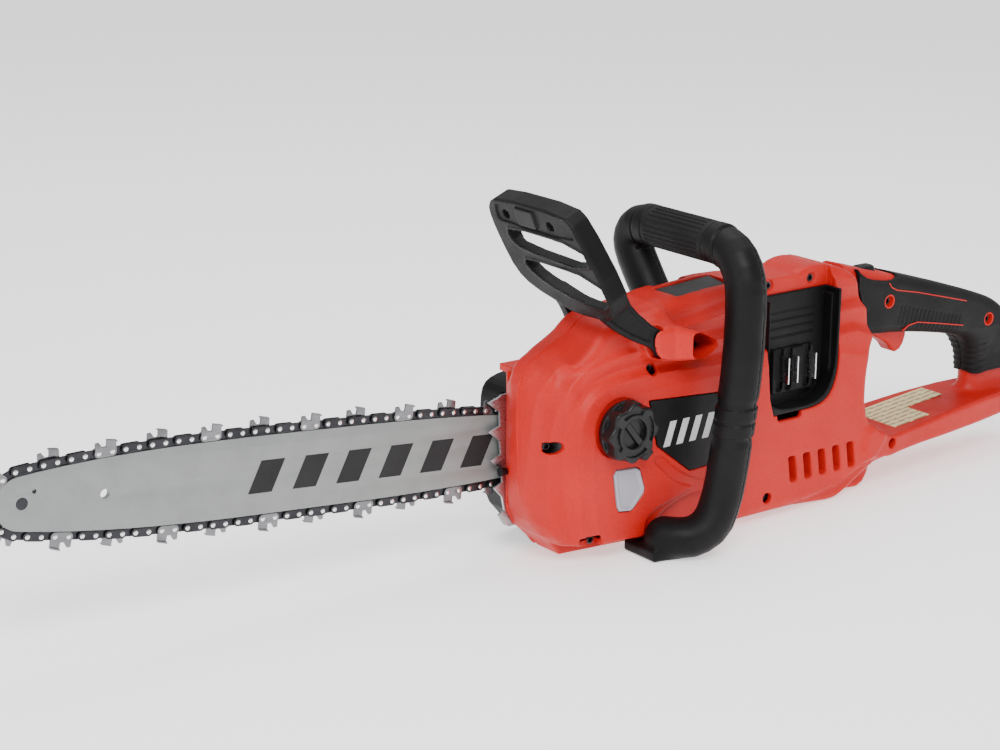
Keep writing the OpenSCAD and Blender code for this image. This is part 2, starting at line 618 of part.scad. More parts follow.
module front_handle() color(black) difference() {
  union() {
    tube(tube_axis, tube_r - 1.5, 18);
    // flat foot under the left shell and block in the top seat
    translate([-36, leg_y() + 8, 0]) cube([38, foot_end - leg_y() - 8, foot_t]);
    translate([grip_x - 13, mid_y + 13 + gap, seat_z]) cube([26, 22, 12]);
  }
  translate([foot_screw[0], foot_screw[1], -1]) cylinder(h = 30, r = screw_r + fit, $fn = 24);
  translate([foot_screw[0], foot_screw[1], -1]) cylinder(h = 4, r = head_r + gap, $fn = 24);
  ycyl(grip_x, seat_z + 6, mid_y + 10, right_y + 1, screw_r + fit);
  ycyl(grip_x, seat_z + 6, mid_y + 32, right_y + 12, head_r + gap);
}
module front_grip() color("#262628") difference() {
  ycyl(grip_x, grip_z, leg_y() + 34, mid_y + 30, tube_r);
  ycyl(grip_x, grip_z, leg_y() + 33, mid_y + 31, tube_r - 1.5 + fit);
}
foot_end = mid_y - 22;   // how far the foot reaches under the body
module handle_foot_box() {
  translate([-40, left_y + 3, 1]) cube([46, foot_end + 3.3 - left_y - 3, foot_t + gap + 2]);
  translate([foot_screw[0], foot_screw[1], foot_t]) cylinder(h = 15, r = 5.2, $fn = 32);
}
module handle_foot_room() {
  translate([-36.3, left_y - 2, -2]) cube([38.6, foot_end + gap - left_y + 2, foot_t + gap + 2]);
  translate([foot_screw[0], foot_screw[1], 0]) cylinder(h = 22, r = screw_r + fit, $fn = 24);
}
module handle_seat_box() {
  translate([grip_x - 18, mid_y + 10, seat_z - 3]) cube([36, right_y - mid_y - 13, 22]);
}
module handle_seat_room() {
  translate([grip_x - 15, mid_y + 13, seat_z]) cube([30, body_w / 2, 60]);
  ycyl(grip_x, seat_z + 6, mid_y + 9, mid_y + 14, screw_r + fit);
}
module grip_cover_half() {
  difference() {
    intersection() {
      slab(mid_y - rear_grip_w / 2, mid_y) offset(delta = 1.6) side(handle_outline);
      translate([206, mid_y - 40, 66]) cube([200, 40, 120]);
    }
    slab(mid_y - rear_grip_w / 2 + 3, mid_y + 1) side(handle_outline);
    trigger_room();
    translate([212, mid_y - 11, 150]) cube([50, 12, 30]);
    for (s = screw_sites) ycyl(s[0], s[1], left_y, mid_y, head_r + 2);
  }
}
module left_grip_cover() color(black) grip_cover_half();
module right_grip_cover() color(black) to_right() grip_cover_half();
module hand_guard() color(black) {
  lean = 22.6;
  // panel with two long slots, in its own plane
  translate([-58, 0, 184]) rotate([0, -lean, 0]) translate([7, 0, 0]) rotate([90, 0, 90]) translate([0, 0, -14])
    linear_extrude(14) difference() {
      polygon([[mid_y - guard_w / 2, 4], [mid_y - guard_w / 2, 62], [mid_y - guard_w / 2 + 14, 78],
               [mid_y + guard_w / 2 - 10, 78], [mid_y + guard_w / 2, 70], [mid_y + guard_w / 2 - 4, 40],
               [mid_y + 26, 2], [mid_y + 10, -6], [mid_y - 40, -6]]);
      link2d([mid_y - 34, 47], [mid_y + 34, 47], 5.5);
      link2d([mid_y - 34, 27], [mid_y + 26, 27], 5.5);
      polygon([[mid_y - 40, 12], [mid_y + 18, 12], [mid_y + 10, 4], [mid_y - 36, 4]]);
    }
  // near arm outside the left lug, far arm inside the right shell
  slab(left_y - 12, left_y - 4) difference() {
    union() {
      polygon([[-66, 184], [-46, 192], [-6, 163], [-16, 148], [-56, 172]]);
      translate([pivot_x, pivot_z]) circle(r = 9, $fn = 48);
    }
    translate([pivot_x, pivot_z]) circle(r = 4 + fit, $fn = 48);
  }
  slab(-8, 1) difference() {
    union() {
      polygon([[-66, 184], [-46, 192], [-2, 164], [-12, 147], [-40, 160]]);
      translate([pivot_x, pivot_z]) circle(r = 9, $fn = 48);
      // tail that pushes the brake link
      polygon([[-14, 150], [-4, 150], [-4, 116], [-10, 116]]);
    }
    translate([pivot_x, pivot_z]) circle(r = 4 + fit, $fn = 48);
  }
}
module guard_pins() color("silver") {
  ycyl(pivot_x, pivot_z, left_y - 14, left_y + 14, 4);
  ycyl(pivot_x, pivot_z, -18, right_y, 4);
}
module trigger() color(red) slab(mid_y - 7.5, mid_y + 7.5) difference() {
  union() {
    polygon([[trigger_x - 6, trigger_z + 4], [trigger_x + 34, trigger_z - 2], [trigger_x + 38, trigger_z - 14],
             [trigger_x + 30, trigger_z - 27], [trigger_x + 24, trigger_z - 28], [trigger_x, trigger_z - 12],
             [trigger_x - 6, trigger_z - 4]]);
    translate([trigger_x, trigger_z]) circle(r = 6, $fn = 32);
  }
  translate([trigger_x, trigger_z]) circle(r = 2.5, $fn = 32);
}
module lock_button() color(black) translate([219, mid_y - 6, 158]) cube([18, 12, 17]);
module trigger_switch() color("#2a2c30") translate([286, mid_y - 8, 120]) cube([26, 16, 16]);

// ---------- battery bays and electrics ----------
module bay_liner() {
  t = 2;
  difference() {
    translate([bay_x + gap, left_y + 1, bay_z + gap]) cube([bay_len - 2 * gap, bay_depth + 1.6, spine_z - bay_z - 1]);
    translate([bay_x + t, left_y, bay_z + t + 1]) cube([bay_len - 2 * t, bay_depth - 0.4, spine_z]);
    // window of the terminal block
    translate([bay_x + 16, left_y, bay_z + 12]) cube([41, bay_depth + 6, 34]);
  }
}
module left_bay_liner() color(black) bay_liner();
module right_bay_liner() color(black) to_right() bay_liner();
module terminal_block() {
  translate([bay_x + 16.2, bay_back - 4, bay_z + 12.2]) cube([40.6, 10, 33.6]);
}
module terminal_blocks() color("#232326") {
  terminal_block();
  to_right() terminal_block();
}
module blades() for (x = [6, 15, 33])
  translate([bay_x + 16 + x, bay_back - 14, bay_z + 22]) cube([1, 10, 20]);
module terminal_blades() color("#c8b070") {
  blades();
  to_right() blades();
}
module controller() color("#30343a") {
  translate([116, mid_y - 24, 14]) cube([62, 48, 26]);
}
module wires() color("#8a1f1a") {
  for (x = [130, 136]) translate([x, mid_y - 1, 40]) cylinder(h = 60, r = 1.6, $fn = 16);
}
module side_panel_outline(grow = 0) {
  offset(delta = grow) polygon([[-14, 113], [52, 108], [46, 56], [25, 55], [-6, 79]]);
}
module side_panel() color(black) difference() {
  slab(left_y - 0.4, left_y + 1.5) side_panel_outline();
  ycyl(cap_x, cap_z, left_y - 2, left_y + 3, 27);
}
module top_panel() color(black) translate([22, mid_y - 14, 179.2]) rotate([0, -4, 0]) cube([50, 26, 2]);
// lies on the foot plate's sloping top
module rating_label() color("#d6b878") translate([245, mid_y, 42.02]) rotate([0, -atan2(8, 85), 0])
  linear_extrude(0.5) polygon([[3, -24], [41, -24], [41, 0], [81, 0], [81, 22], [17, 22], [3, 8]]);

// ---------- small parts ----------
module spike_bumper() color("silver") difference() {
  slab(face_y - 2, face_y) polygon(concat([[-70, 120], [-100, 118]],
  [for (k = [0 : 4]) each [[-101 + k * k * 0.3, 117 - 21 * k], [-111 + k * k * 0.6, 114 - 22 * k + k],
                           [-101 + k * k * 0.3, 106 - 21 * k]]], [[-92, 20], [-70, 20]]));
  on_bar() ycyl(stud_x - stud_pitch, 0, -9, -5, stud_d / 2 + fit);
}
module tension_screw() color("silver") on_bar() {
  translate([-104, -14, pin_h]) rotate([0, 90, 0]) cylinder(h = 34, r = 2.5, $fn = 32);
  translate([-104, -14, pin_h]) rotate([0, 90, 0]) cylinder(h = 3, r = 3.1, $fn = 32);
}
module tension_pin() color("gray") on_bar() {
  ycyl(pin_x, pin_h, -17, 1.5, 3);
}
module chain_catcher() color("#8f9296") translate([-40, face_y + 0.4, 9]) cube([10, 20, 7]);
module housing_screws() color("gray") for (s = screw_sites) {
  ycyl(s[0], s[1], s[2], mid_y + 12, screw_r);
  difference() {
    ycyl(s[0], s[1], s[2] - 3, s[2], head_r);
    translate([s[0], s[2] - 1.5, s[1]]) rotate([90, 0, 0]) cylinder(h = 3, r = 1.6, $fn = 6);
  }
}
module handle_screws() color("gray") {
  translate([foot_screw[0], foot_screw[1], 3]) cylinder(h = 17, r = screw_r, $fn = 24);
  translate([foot_screw[0], foot_screw[1], 0.5]) cylinder(h = 2.5, r = head_r, $fn = 24);
  ycyl(grip_x, seat_z + 6, mid_y + 10.5, mid_y + 32, screw_r);
  ycyl(grip_x, seat_z + 6, mid_y + 32, mid_y + 34.5, head_r);
}

left_housing();
right_housing();
sprocket_cover();
spike_bumper();
front_handle();
front_grip();
left_grip_cover();
right_grip_cover();
left_bay_liner();
right_bay_liner();
terminal_blocks();
terminal_blades();
side_panel();
top_panel();
rating_label();
oil_tank();
oil_window();
oil_filter();
oil_hose();
oil_pump();
pump_gear();
cap_strap();
oil_cap();
cap_gasket();
gear_case();
stator();
windings();
rotor_core();
rotor_shaft();
pinion();
fan();
drive_gear();
spindle();
bearings();
drive_sprocket();
brake_drum();
brake_band();
brake_link();
hand_guard();
guard_pins();
trigger();
lock_button();
trigger_switch();
controller();
wires();
guide_bar();
nose_sprocket();
chain_drive_links();
chain_straps();
chain_cutters();
chain_rivets();
bar_studs();
bar_nuts();
bar_plate();
tension_screw();
tension_pin();
chain_catcher();
housing_screws();
handle_screws();
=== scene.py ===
# %% [markdown]
# # A cordless chainsaw around a fixed CAD frame
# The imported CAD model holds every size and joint. This script gives it its looks: soft moulded shells,
# a ribbed front handle, an overmoulded rear handle, a guard, a cap, a domed-rivet chain and studio light.
# Everything is in metres in the CAD's own frame: X runs from the bar's tip to the rear handle, Z is up,
# and the left side, with the oil cap, faces -Y.

# %% Load the frame
import math

import bmesh
import bpy
import numpy as np
from mathutils import Matrix, Vector


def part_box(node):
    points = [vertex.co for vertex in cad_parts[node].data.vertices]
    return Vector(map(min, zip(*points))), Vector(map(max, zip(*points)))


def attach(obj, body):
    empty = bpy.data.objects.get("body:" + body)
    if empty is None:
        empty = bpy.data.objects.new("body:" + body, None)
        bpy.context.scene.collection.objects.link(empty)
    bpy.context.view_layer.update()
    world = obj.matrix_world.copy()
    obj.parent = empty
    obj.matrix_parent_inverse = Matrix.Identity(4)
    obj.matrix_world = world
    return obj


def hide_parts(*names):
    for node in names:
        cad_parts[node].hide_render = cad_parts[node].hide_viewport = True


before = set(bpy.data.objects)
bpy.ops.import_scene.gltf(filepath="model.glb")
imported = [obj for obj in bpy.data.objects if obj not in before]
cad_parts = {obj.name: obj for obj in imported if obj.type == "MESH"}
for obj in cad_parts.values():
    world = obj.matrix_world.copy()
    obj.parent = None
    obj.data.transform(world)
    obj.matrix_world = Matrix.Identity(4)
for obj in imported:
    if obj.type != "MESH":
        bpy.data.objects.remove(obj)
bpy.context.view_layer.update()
MM = 0.001

# %% [markdown]
# ## Driving sizes
# Moulded shells follow the CAD's planes, so their planes are read from the frame. The body's middle
# plane is where its two halves meet, and the left and right faces lie the same distance from it.

# %% Planes and centres, in millimetres
def corners(node):
    low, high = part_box(node)
    return [v / MM for v in low], [v / MM for v in high]


MID = corners("left_housing")[1][1]
RIGHT = corners("right_housing")[1][1]
LEFT = 2 * MID - RIGHT
HALF = (RIGHT - LEFT) / 2
# thicker than the CAD wall, so that the coarse grid still finds both faces
WALL = 4.2
cap_low, cap_high = corners("oil_cap")
CAP_X, CAP_Z = (cap_low[0] + cap_high[0]) / 2, (cap_low[2] + cap_high[2]) / 2
liner_low, liner_high = corners("left_bay_liner")
pins_low, pins_high = corners("guard_pins")
PIVOT_X, PIVOT_Z = (pins_low[0] + pins_high[0]) / 2, (pins_low[2] + pins_high[2]) / 2
grip_low, grip_high = corners("front_grip")
GRIP_X, GRIP_Z = (grip_low[0] + grip_high[0]) / 2, (grip_low[2] + grip_high[2]) / 2
print("middle plane", MID, "half width", HALF, "cap", CAP_X, CAP_Z, "pivot", PIVOT_X, PIVOT_Z, "grip", GRIP_X,
      GRIP_Z)

# %% [markdown]
# ## Finishes
# Each finish is one Principled shader fed by noise: slow noise for colour drift, fine noise for the
# moulded grain, and stretched noise for rubbing marks. Noise is read in object coordinates, so it
# stays on a piece when the piece moves, and it needs no unwrapping. Values that are the same all
# over a surface are set on the shader itself.

# %% Node helpers
def new_finish(name):
    m = bpy.data.materials.new(name)
    m.use_nodes = True
    t = m.node_tree
    return m, t, t.nodes["Principled BSDF"]


def noise(t, scale, detail=3.0, rough=0.5, stretch=None):
    coord = t.nodes.new("ShaderNodeTexCoord")
    n = t.nodes.new("ShaderNodeTexNoise")
    n.inputs["Scale"].default_value = scale
    n.inputs["Detail"].default_value = detail
    n.inputs["Roughness"].default_value = rough
    if stretch:
        m = t.nodes.new("ShaderNodeMapping")
        m.inputs["Scale"].default_value = stretch
        t.links.new(coord.outputs["Object"], m.inputs["Vector"])
        t.links.new(m.outputs["Vector"], n.inputs["Vector"])
    else:
        t.links.new(coord.outputs["Object"], n.inputs["Vector"])
    return n.outputs["Fac"]


def ramp(t, fac, stops):
    r = t.nodes.new("ShaderNodeValToRGB")
    while len(r.color_ramp.elements) < len(stops):
        r.color_ramp.elements.new(0.5)
    for e, (pos, col) in zip(r.color_ramp.elements, stops):
        e.position = pos
        e.color = (*col, 1) if len(col) == 3 else col
    t.links.new(fac, r.inputs["Fac"])
    return r.outputs["Color"]


def grey_ramp(t, fac, lo, a, hi, b):
    return ramp(t, fac, [(lo, (a, a, a)), (hi, (b, b, b))])


def mix(t, fac, a, b, how="MIX"):
    m = t.nodes.new("ShaderNodeMix")
    m.data_type = "RGBA"
    m.blend_type = how
    for socket, v in ((m.inputs[0], fac), (m.inputs[6], a), (m.inputs[7], b)):
        if isinstance(v, bpy.types.NodeSocket):
            t.links.new(v, socket)
        elif isinstance(v, tuple):
            socket.default_value = (*v, 1)
        else:
            socket.default_value = v
    return m.outputs[2]


def bump(t, shader, layers):
    last = None
    for height, depth in layers:
        b = t.nodes.new("ShaderNodeBump")
        b.inputs["Distance"].default_value = depth
        t.links.new(height, b.inputs["Height"])
        if last:
            t.links.new(last, b.inputs["Normal"])
        last = b.outputs["Normal"]
    t.links.new(last, shader.inputs["Normal"])


# %% [markdown]
# ### Moulded plastics
# Spark-eroded moulds leave a fine even grain, about three bumps to the millimetre, which scatters
# highlights into a soft sheen. Handling polishes small patches and leaves a few pale rub marks.

# %% Plastic, rubber and metal makers
def moulded(name, colour, rough, grain=3200.0, depth=0.00006, drift=0.12, rubs=0.25, rub_colour=None,
            gloss=0.42):
    m, t, s = new_finish(name)
    light = tuple(min(1.0, c * (1 + drift) + 0.004) for c in colour)
    dark = tuple(c * (1 - drift) for c in colour)
    base = ramp(t, noise(t, 14, 4), [(0.35, dark), (0.65, light)])
    speck = grey_ramp(t, noise(t, grain * 0.5, 2, 0.7), 0.38, 0.86, 0.62, 1.10)
    base = mix(t, 1.0, base, speck, "MULTIPLY")
    scuff = grey_ramp(t, noise(t, 26, 6, 0.65, (1.0, 1.0, 5.0)), 0.66, 0.0, 0.74, rubs)
    base = mix(t, scuff, base, rub_colour or tuple(min(1.0, c * 1.25 + 0.03) for c in colour))
    t.links.new(base, s.inputs["Base Color"])
    t.links.new(grey_ramp(t, noise(t, 60, 5, 0.6), 0.3, rough - 0.06, 0.7, rough + 0.08),
                s.inputs["Roughness"])
    s.inputs["Specular IOR Level"].default_value = gloss
    bump(t, s, [(noise(t, grain, 2, 0.6), depth), (noise(t, 180, 3), depth * 0.8)])
    return m


def steel(name, colour, rough, stretch=(1, 1, 1), scratch=0.00002, stain=0.35, metal=1.0):
    m, t, s = new_finish(name)
    dull = tuple(c * (1 - stain) for c in colour)
    base = ramp(t, noise(t, 45, 6, 0.6), [(0.32, dull), (0.6, colour)])
    t.links.new(base, s.inputs["Base Color"])
    s.inputs["Metallic"].default_value = metal
    t.links.new(grey_ramp(t, noise(t, 320, 4, 0.6, stretch), 0.3, rough * 0.75, 0.7, rough * 1.35),
                s.inputs["Roughness"])
    bump(t, s, [(noise(t, 900, 3, 0.7, stretch), scratch)])
    return m


RED = (0.50, 0.0085, 0.005)
BLACK = (0.0035, 0.0035, 0.004)
red_shell = moulded("red glass-filled nylon", RED, 0.44, drift=0.07, rubs=0.10,
                    rub_colour=(0.54, 0.022, 0.014), gloss=0.24)
black_shell = moulded("black glass-filled nylon", BLACK, 0.44, drift=0.2, rubs=0.12,
                      rub_colour=(0.014, 0.014, 0.015), gloss=0.14)
soft_black = moulded("soft black overmould", (0.0065, 0.0065, 0.007), 0.58, grain=2400, depth=0.00009,
                     drift=0.25, rubs=0.12, rub_colour=(0.018, 0.018, 0.019), gloss=0.16)
gloss_black = moulded("black cap plastic", (0.005, 0.005, 0.0055), 0.34, grain=1800, depth=0.00004, drift=0.2,
                      rubs=0.1, rub_colour=(0.02, 0.02, 0.022), gloss=0.26)
dark_tank = moulded("tank polythene", (0.05, 0.05, 0.055), 0.5)
board_green = moulded("controller potting", (0.03, 0.05, 0.045), 0.4)
bright = steel("satin steel", (0.66, 0.67, 0.69), 0.30)
spike_steel = steel("zinc-plated spikes", (0.5, 0.5, 0.52), 0.3, (1, 1, 6))
bar_satin = steel("satin bar paint", (0.235, 0.245, 0.24), 0.46, (1.0, 1.0, 14.0), 0.000012, 0.10, 0.35)
blued = steel("blued chain steel", (0.045, 0.045, 0.05), 0.34, stain=0.3)
chrome = steel("chromed cutters", (0.20, 0.20, 0.21), 0.3, stain=0.2)
rivet_steel = steel("bright rivets", (0.78, 0.77, 0.76), 0.18, stain=0.15)
cast = steel("cast aluminium", (0.60, 0.61, 0.62), 0.45)
copper = steel("enamelled copper", (0.62, 0.24, 0.09), 0.3)
tinned = steel("tinned blades", (0.80, 0.80, 0.82), 0.22, stain=0.15)
red_wire = moulded("red insulation", (0.5, 0.03, 0.02), 0.4)
bar_ink = moulded("bar print", (0.012, 0.012, 0.013), 0.42, gloss=0.2)
pale_ink = moulded("pale print", (0.55, 0.55, 0.56), 0.4)
print("finishes", len(bpy.data.materials))

# %% [markdown]
# ### Frosted window and printed film
# The oil window is a pale frosted moulding that lets a little light in. The film label is tan with
# plain printed blocks; on the real object those hold wording, and here they are only plain bars.

# %% Window and film
def frosted(name, colour):
    m, t, s = new_finish(name)
    base = ramp(t, noise(t, 30, 3), [(0.3, tuple(c * 0.9 for c in colour)), (0.7, colour)])
    t.links.new(base, s.inputs["Base Color"])
    s.inputs["Roughness"].default_value = 0.38
    s.inputs["Subsurface Weight"].default_value = 0.25
    s.inputs["Subsurface Radius"].default_value = (0.004, 0.004, 0.004)
    bump(t, s, [(noise(t, 2200, 2), 0.00004)])
    return m


window_frost = frosted("frosted window", (0.36, 0.34, 0.39))


def film(name, ground, ink, size, origin, axes):
    """Printed film: short ink bars in rows, between two rules."""
    m, t, s = new_finish(name)
    coord = t.nodes.new("ShaderNodeTexCoord")
    place = t.nodes.new("ShaderNodeMapping")
    place.inputs["Location"].default_value = [-o for o in origin]
    t.links.new(coord.outputs["Object"], place.inputs["Vector"])
    split = t.nodes.new("ShaderNodeSeparateXYZ")
    t.links.new(place.outputs["Vector"], split.inputs["Vector"])

    def op(kind, a, b=0.0):
        n = t.nodes.new("ShaderNodeMath")
        n.operation = kind
        for socket, v in zip(n.inputs, (a, b)):
            if isinstance(v, bpy.types.NodeSocket):
                t.links.new(v, socket)
            else:
                socket.default_value = v
        return n.outputs[0]

    u, v = split.outputs[axes[0]], split.outputs[axes[1]]
    row = op("LESS_THAN", op("PINGPONG", v, size), size * 0.42)
    word = op("GREATER_THAN",
              op("PINGPONG", op("ADD", u, op("MULTIPLY", op("SNAP", v, size * 2), 1.7)), size * 3.1),
              size * 0.7)
    ink_mask = op("MULTIPLY", row, word)
    base = mix(t, ink_mask, ground, ink)
    worn = grey_ramp(t, noise(t, 90, 5), 0.35, 0.92, 0.7, 1.04)
    t.links.new(mix(t, 1.0, base, worn, "MULTIPLY"), s.inputs["Base Color"])
    s.inputs["Roughness"].default_value = 0.36
    bump(t, s, [(noise(t, 700, 2), 0.00002)])
    return m


label_low = corners("rating_label")[0]
tan_film = film("tan printed film", (0.78, 0.63, 0.32), (0.34, 0.25, 0.12), 0.0030,
                (label_low[0] * MM, label_low[1] * MM, 0), (0, 1))

# %% [markdown]
# ## Implicit moulding
# Moulded shells are full of blends: every edge is rounded, layers flow into each other, and holes have
# lead-ins. Modelling that with bevels is slow and fragile. Instead each shell is written as a signed
# distance (negative inside) made of rounded slabs, then skinned: every grid cell that the surface
# crosses gets one vertex, slid onto the surface along the gradient, and neighbouring cells share a quad.

# %% Distance helpers
def looped(points, rounds=2, share=0.25):
    """Corner-cut a closed outline, so it turns smoothly."""
    p = np.array(points, float)
    for _ in range(rounds):
        q = np.roll(p, -1, axis=0)
        p = np.stack([p * (1 - share) + q * share, p * share + q * (1 - share)], axis=1).reshape(-1, 2)
    return p


def inside_of(points, x, z):
    """Signed distance to a closed outline."""
    p = np.asarray(points, float)
    shape = np.broadcast(x, z).shape
    near = np.full(shape, 1e9)
    sign = np.ones(shape)
    for a, b in zip(p, np.roll(p, -1, axis=0)):
        e = b - a
        wx, wz = x - a[0], z - a[1]
        k = np.clip((wx * e[0] + wz * e[1]) / (e @ e), 0, 1)
        near = np.minimum(near, (wx - e[0] * k) ** 2 + (wz - e[1] * k) ** 2)
        above, below, left = z >= a[1], z < b[1], e[0] * wz > e[1] * wx
        sign = np.where((above & below & left) | ~(above | below | left), -sign, sign)
    return sign * np.sqrt(near)


def plate_of(d, y, low, high, edge, run=None):
    """A slab between two planes over a 2D distance, with rounded rims; run stretches the rim inwards."""
    run = run or edge
    qx = (d + run) * edge / run
    qy = np.abs(y - (low + high) / 2) - (high - low) / 2 + edge
    return np.minimum(np.maximum(qx, qy), 0) + np.hypot(np.maximum(qx, 0), np.maximum(qy, 0)) - edge


def both(a, b, k=0.0):
    """Union, blended over k."""
    if not k:
        return np.minimum(a, b)
    h = np.clip(0.5 + 0.5 * (b - a) / k, 0, 1)
    return b * (1 - h) + a * h - k * h * (1 - h)


def cut(a, b, k=0.0):
    """a without b, with the edge blended over k."""
    return -both(-a, b, k)


def box_of(x, y, z, low, high, edge=1.0):
    q = [np.abs(v - (a + b) / 2) - (b - a) / 2 + edge for v, a, b in zip((x, y, z), low, high)]
    outer = np.sqrt(sum(np.maximum(v, 0) ** 2 for v in q))
    return outer + np.minimum(np.maximum(q[0], np.maximum(q[1], q[2])), 0) - edge


def rod_y(x, z, cx, cz, r):
    return np.hypot(x - cx, z - cz) - r


def step_up(d, width):
    """0 inside an outline, rising quickly at its rim and levelling out over width."""
    k = np.clip(d / width, 0, 1)
    return 1 - (1 - k) ** 2


# %% Skinning a distance
def skin(name, low, high, step, field, slides=2, angle=35):
    """One watertight mesh of the surface field = 0 between two corners, all in millimetres."""
    axes = [np.arange(a - step * 1.5, b + step * 1.6, step) for a, b in zip(low, high)]
    x, y, z = np.ix_(*axes)
    f = np.asarray(np.broadcast_to(field(x, y, z), [len(a) for a in axes]), dtype=np.float32)
    n = np.array(f.shape) - 1
    inside = f < 0
    corner = [(i, j, k) for i in (0, 1) for j in (0, 1) for k in (0, 1)]

    def at(a, c):
        return a[c[0]:c[0] + n[0], c[1]:c[1] + n[1], c[2]:c[2] + n[2]]

    count = sum(at(inside, c).astype(np.int8) for c in corner)
    cells = np.argwhere((count > 0) & (count < 8))
    ids = np.full(n, -1, np.int64)
    ids[tuple(cells.T)] = np.arange(len(cells))
    total, hits = np.zeros((len(cells), 3)), np.zeros(len(cells))
    for c in corner:
        for axis in range(3):
            if c[axis]:
                continue
            d = list(c)
            d[axis] = 1
            fa = f[tuple((cells + c).T)]
            fb = f[tuple((cells + d).T)]
            cross = (fa < 0) != (fb < 0)
            k = np.where(cross, fa / np.where(cross, fa - fb, 1), 0)
            p = cells + np.array(c, float)
            p[:, axis] += k
            total += p * cross[:, None]
            hits += cross
    v = total / hits[:, None] * step + np.array([a[0] for a in axes])
    small = step * 0.15
    for _ in range(slides):
        here = field(*v.T)
        slope = np.stack([field(*(v + small * np.eye(3)[k]).T) - here for k in range(3)], axis=1) / small
        size = np.maximum((slope ** 2).sum(1), 0.2)
        v -= np.clip(here / size, -step * 0.5, step * 0.5)[:, None] * slope * 0.9
    quads = []
    for axis in range(3):
        b, c = (axis + 1) % 3, (axis + 2) % 3
        lo = [slice(None)] * 3
        hi = [slice(None)] * 3
        lo[axis], hi[axis] = slice(0, -1), slice(1, None)
        change = inside[tuple(lo)] != inside[tuple(hi)]
        e = np.argwhere(change)
        e = e[(e[:, b] > 0) & (e[:, c] > 0) & (e[:, b] < n[b]) & (e[:, c] < n[c])]
        out = inside[tuple(e.T)]
        eb, ec = np.zeros(3, int), np.zeros(3, int)
        eb[b], ec[c] = 1, 1
        ring = np.stack([ids[tuple((e - q).T)] for q in (eb + ec, ec, 0 * eb, eb)], axis=1)
        ring[~out] = ring[~out][:, ::-1]
        quads.append(ring)
    quads = np.concatenate(quads)
    quads = quads[(quads >= 0).all(1)]
    me = bpy.data.meshes.new(name)
    me.vertices.add(len(v))
    me.vertices.foreach_set("co", (v * MM).astype(np.float32).ravel())
    me.loops.add(quads.size)
    me.loops.foreach_set("vertex_index", quads.astype(np.int32).ravel())
    me.polygons.add(len(quads))
    me.polygons.foreach_set("loop_start", np.arange(0, quads.size, 4, dtype=np.int32))
    me.update(calc_edges=True)
    me.validate()
    me.shade_smooth()
    me.set_sharp_from_angle(angle=math.radians(angle))
    o = bpy.data.objects.new(name, me)
    bpy.context.collection.objects.link(o)
    print(f"{name}: {len(v)} vertices, {len(quads)} quads")
    return o


# %% Placing a finished piece
def fit(o, body, finish, slot_name, *nodes):
    o.data.materials.clear()
    o.data.materials.append(finish)
    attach(o, body)
    if nodes:
        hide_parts(*nodes)
    return o


def mesh_from(name, verts, faces, smooth=True, angle=35):
    me = bpy.data.meshes.new(name)
    me.from_pydata([tuple(c * MM for c in v) for v in verts], [], faces)
    me.update()
    if smooth:
        me.shade_smooth()
        me.set_sharp_from_angle(angle=math.radians(angle))
    o = bpy.data.objects.new(name, me)
    bpy.context.collection.objects.link(o)
    return o


STEP = 1.1
GRIP_START, COVER_START = 196, 206

# %% [markdown]
# ## The body shells
# The real shells are two injection-moulded halves that meet in the middle plane. Layers sweep from the
# rear over the top and curl down the front, each one a step lower than the last, and the corner at the
# front left is very round. The side view outline gives the slab, and a map of steps thins it.

# %% Outlines of the body
BODY = looped([(-79, 14), (-93, 25), (-99, 50), (-102, 90), (-102, 126), (-97, 142), (-87, 149), (-70, 156),
               (-52, 160), (-38, 166), (-20, 170), (6, 177), (63, 182), (100, 181), (114, 178), (126, 173),
               (137, 179), (148, 183), (166, 183), (182, 179), (192, 173), (198, 160), (204, 142), (209, 126),
               (204, 113), (201, 95), (201, 69), (211, 49), (229, 43), (229, 24), (219, 6), (206, 0),
               (-68, 0)], 1)
HANDLE = looped([(150, 183), (182, 180), (204, 174), (263, 158), (313, 143), (341, 134), (367, 124),
                 (384, 108), (391, 88), (397, 44), (346, 44), (348, 70), (343, 92), (330, 103), (262, 116),
                 (222, 119), (190, 124), (165, 140)], 2)
FOOTPLATE = looped([(200, 30), (228, 25), (246, 27), (330, 30), (385, 34), (411, 36), (414, 48), (398, 51),
                    (330, 50), (245, 42), (228, 42), (205, 56)], 1)
PLATE_PLAN = looped([(190, LEFT), (230, LEFT), (262, LEFT + 4), (300, LEFT + 6), (412, LEFT + 15),
                     (416, LEFT + 24), (416, RIGHT - 24), (412, RIGHT - 15), (300, RIGHT - 6),
                     (262, RIGHT - 4), (230, RIGHT), (190, RIGHT)], 1)
# Edges of the flowing layers, from the cap's flat outwards, as closed areas
FLAT = looped([(230, 8), (230, 133), (120, 131), (52, 129), (11, 131), (-30, 132), (-56, 127), (-69, 116),
               (-75, 98), (-76, 60), (-70, 24), (-60, 8)])
LAYER_1 = looped([(240, -10), (240, 150), (120, 149), (33, 146), (0, 149), (-27, 150), (-55, 146), (-74, 137),
                  (-86, 122), (-91, 100), (-92, 55), (-88, -10)])
LAYER_2 = looped([(240, -10), (240, 175), (120, 170), (62, 164), (30, 158), (0, 157), (-29, 158), (-56, 154),
                  (-76, 146), (-90, 135), (-98, 120), (-99, -10)])
FOOT_POCKET = looped([(-14, -8), (-10, 14), (2, 27), (22, 35), (46, 36), (60, 24), (58, -8)])
RIDGE = looped([(-84, 140), (-60, 156), (-53, 166), (-46, 171), (-32, 173), (-8, 174), (8, 176), (8, 140)])
INNER_FLAT = looped([(230, 8), (230, 118), (60, 121), (-6, 121), (-38, 117), (-56, 110), (-63, 98), (-63, 60),
                     (-58, 24), (-50, 8)])
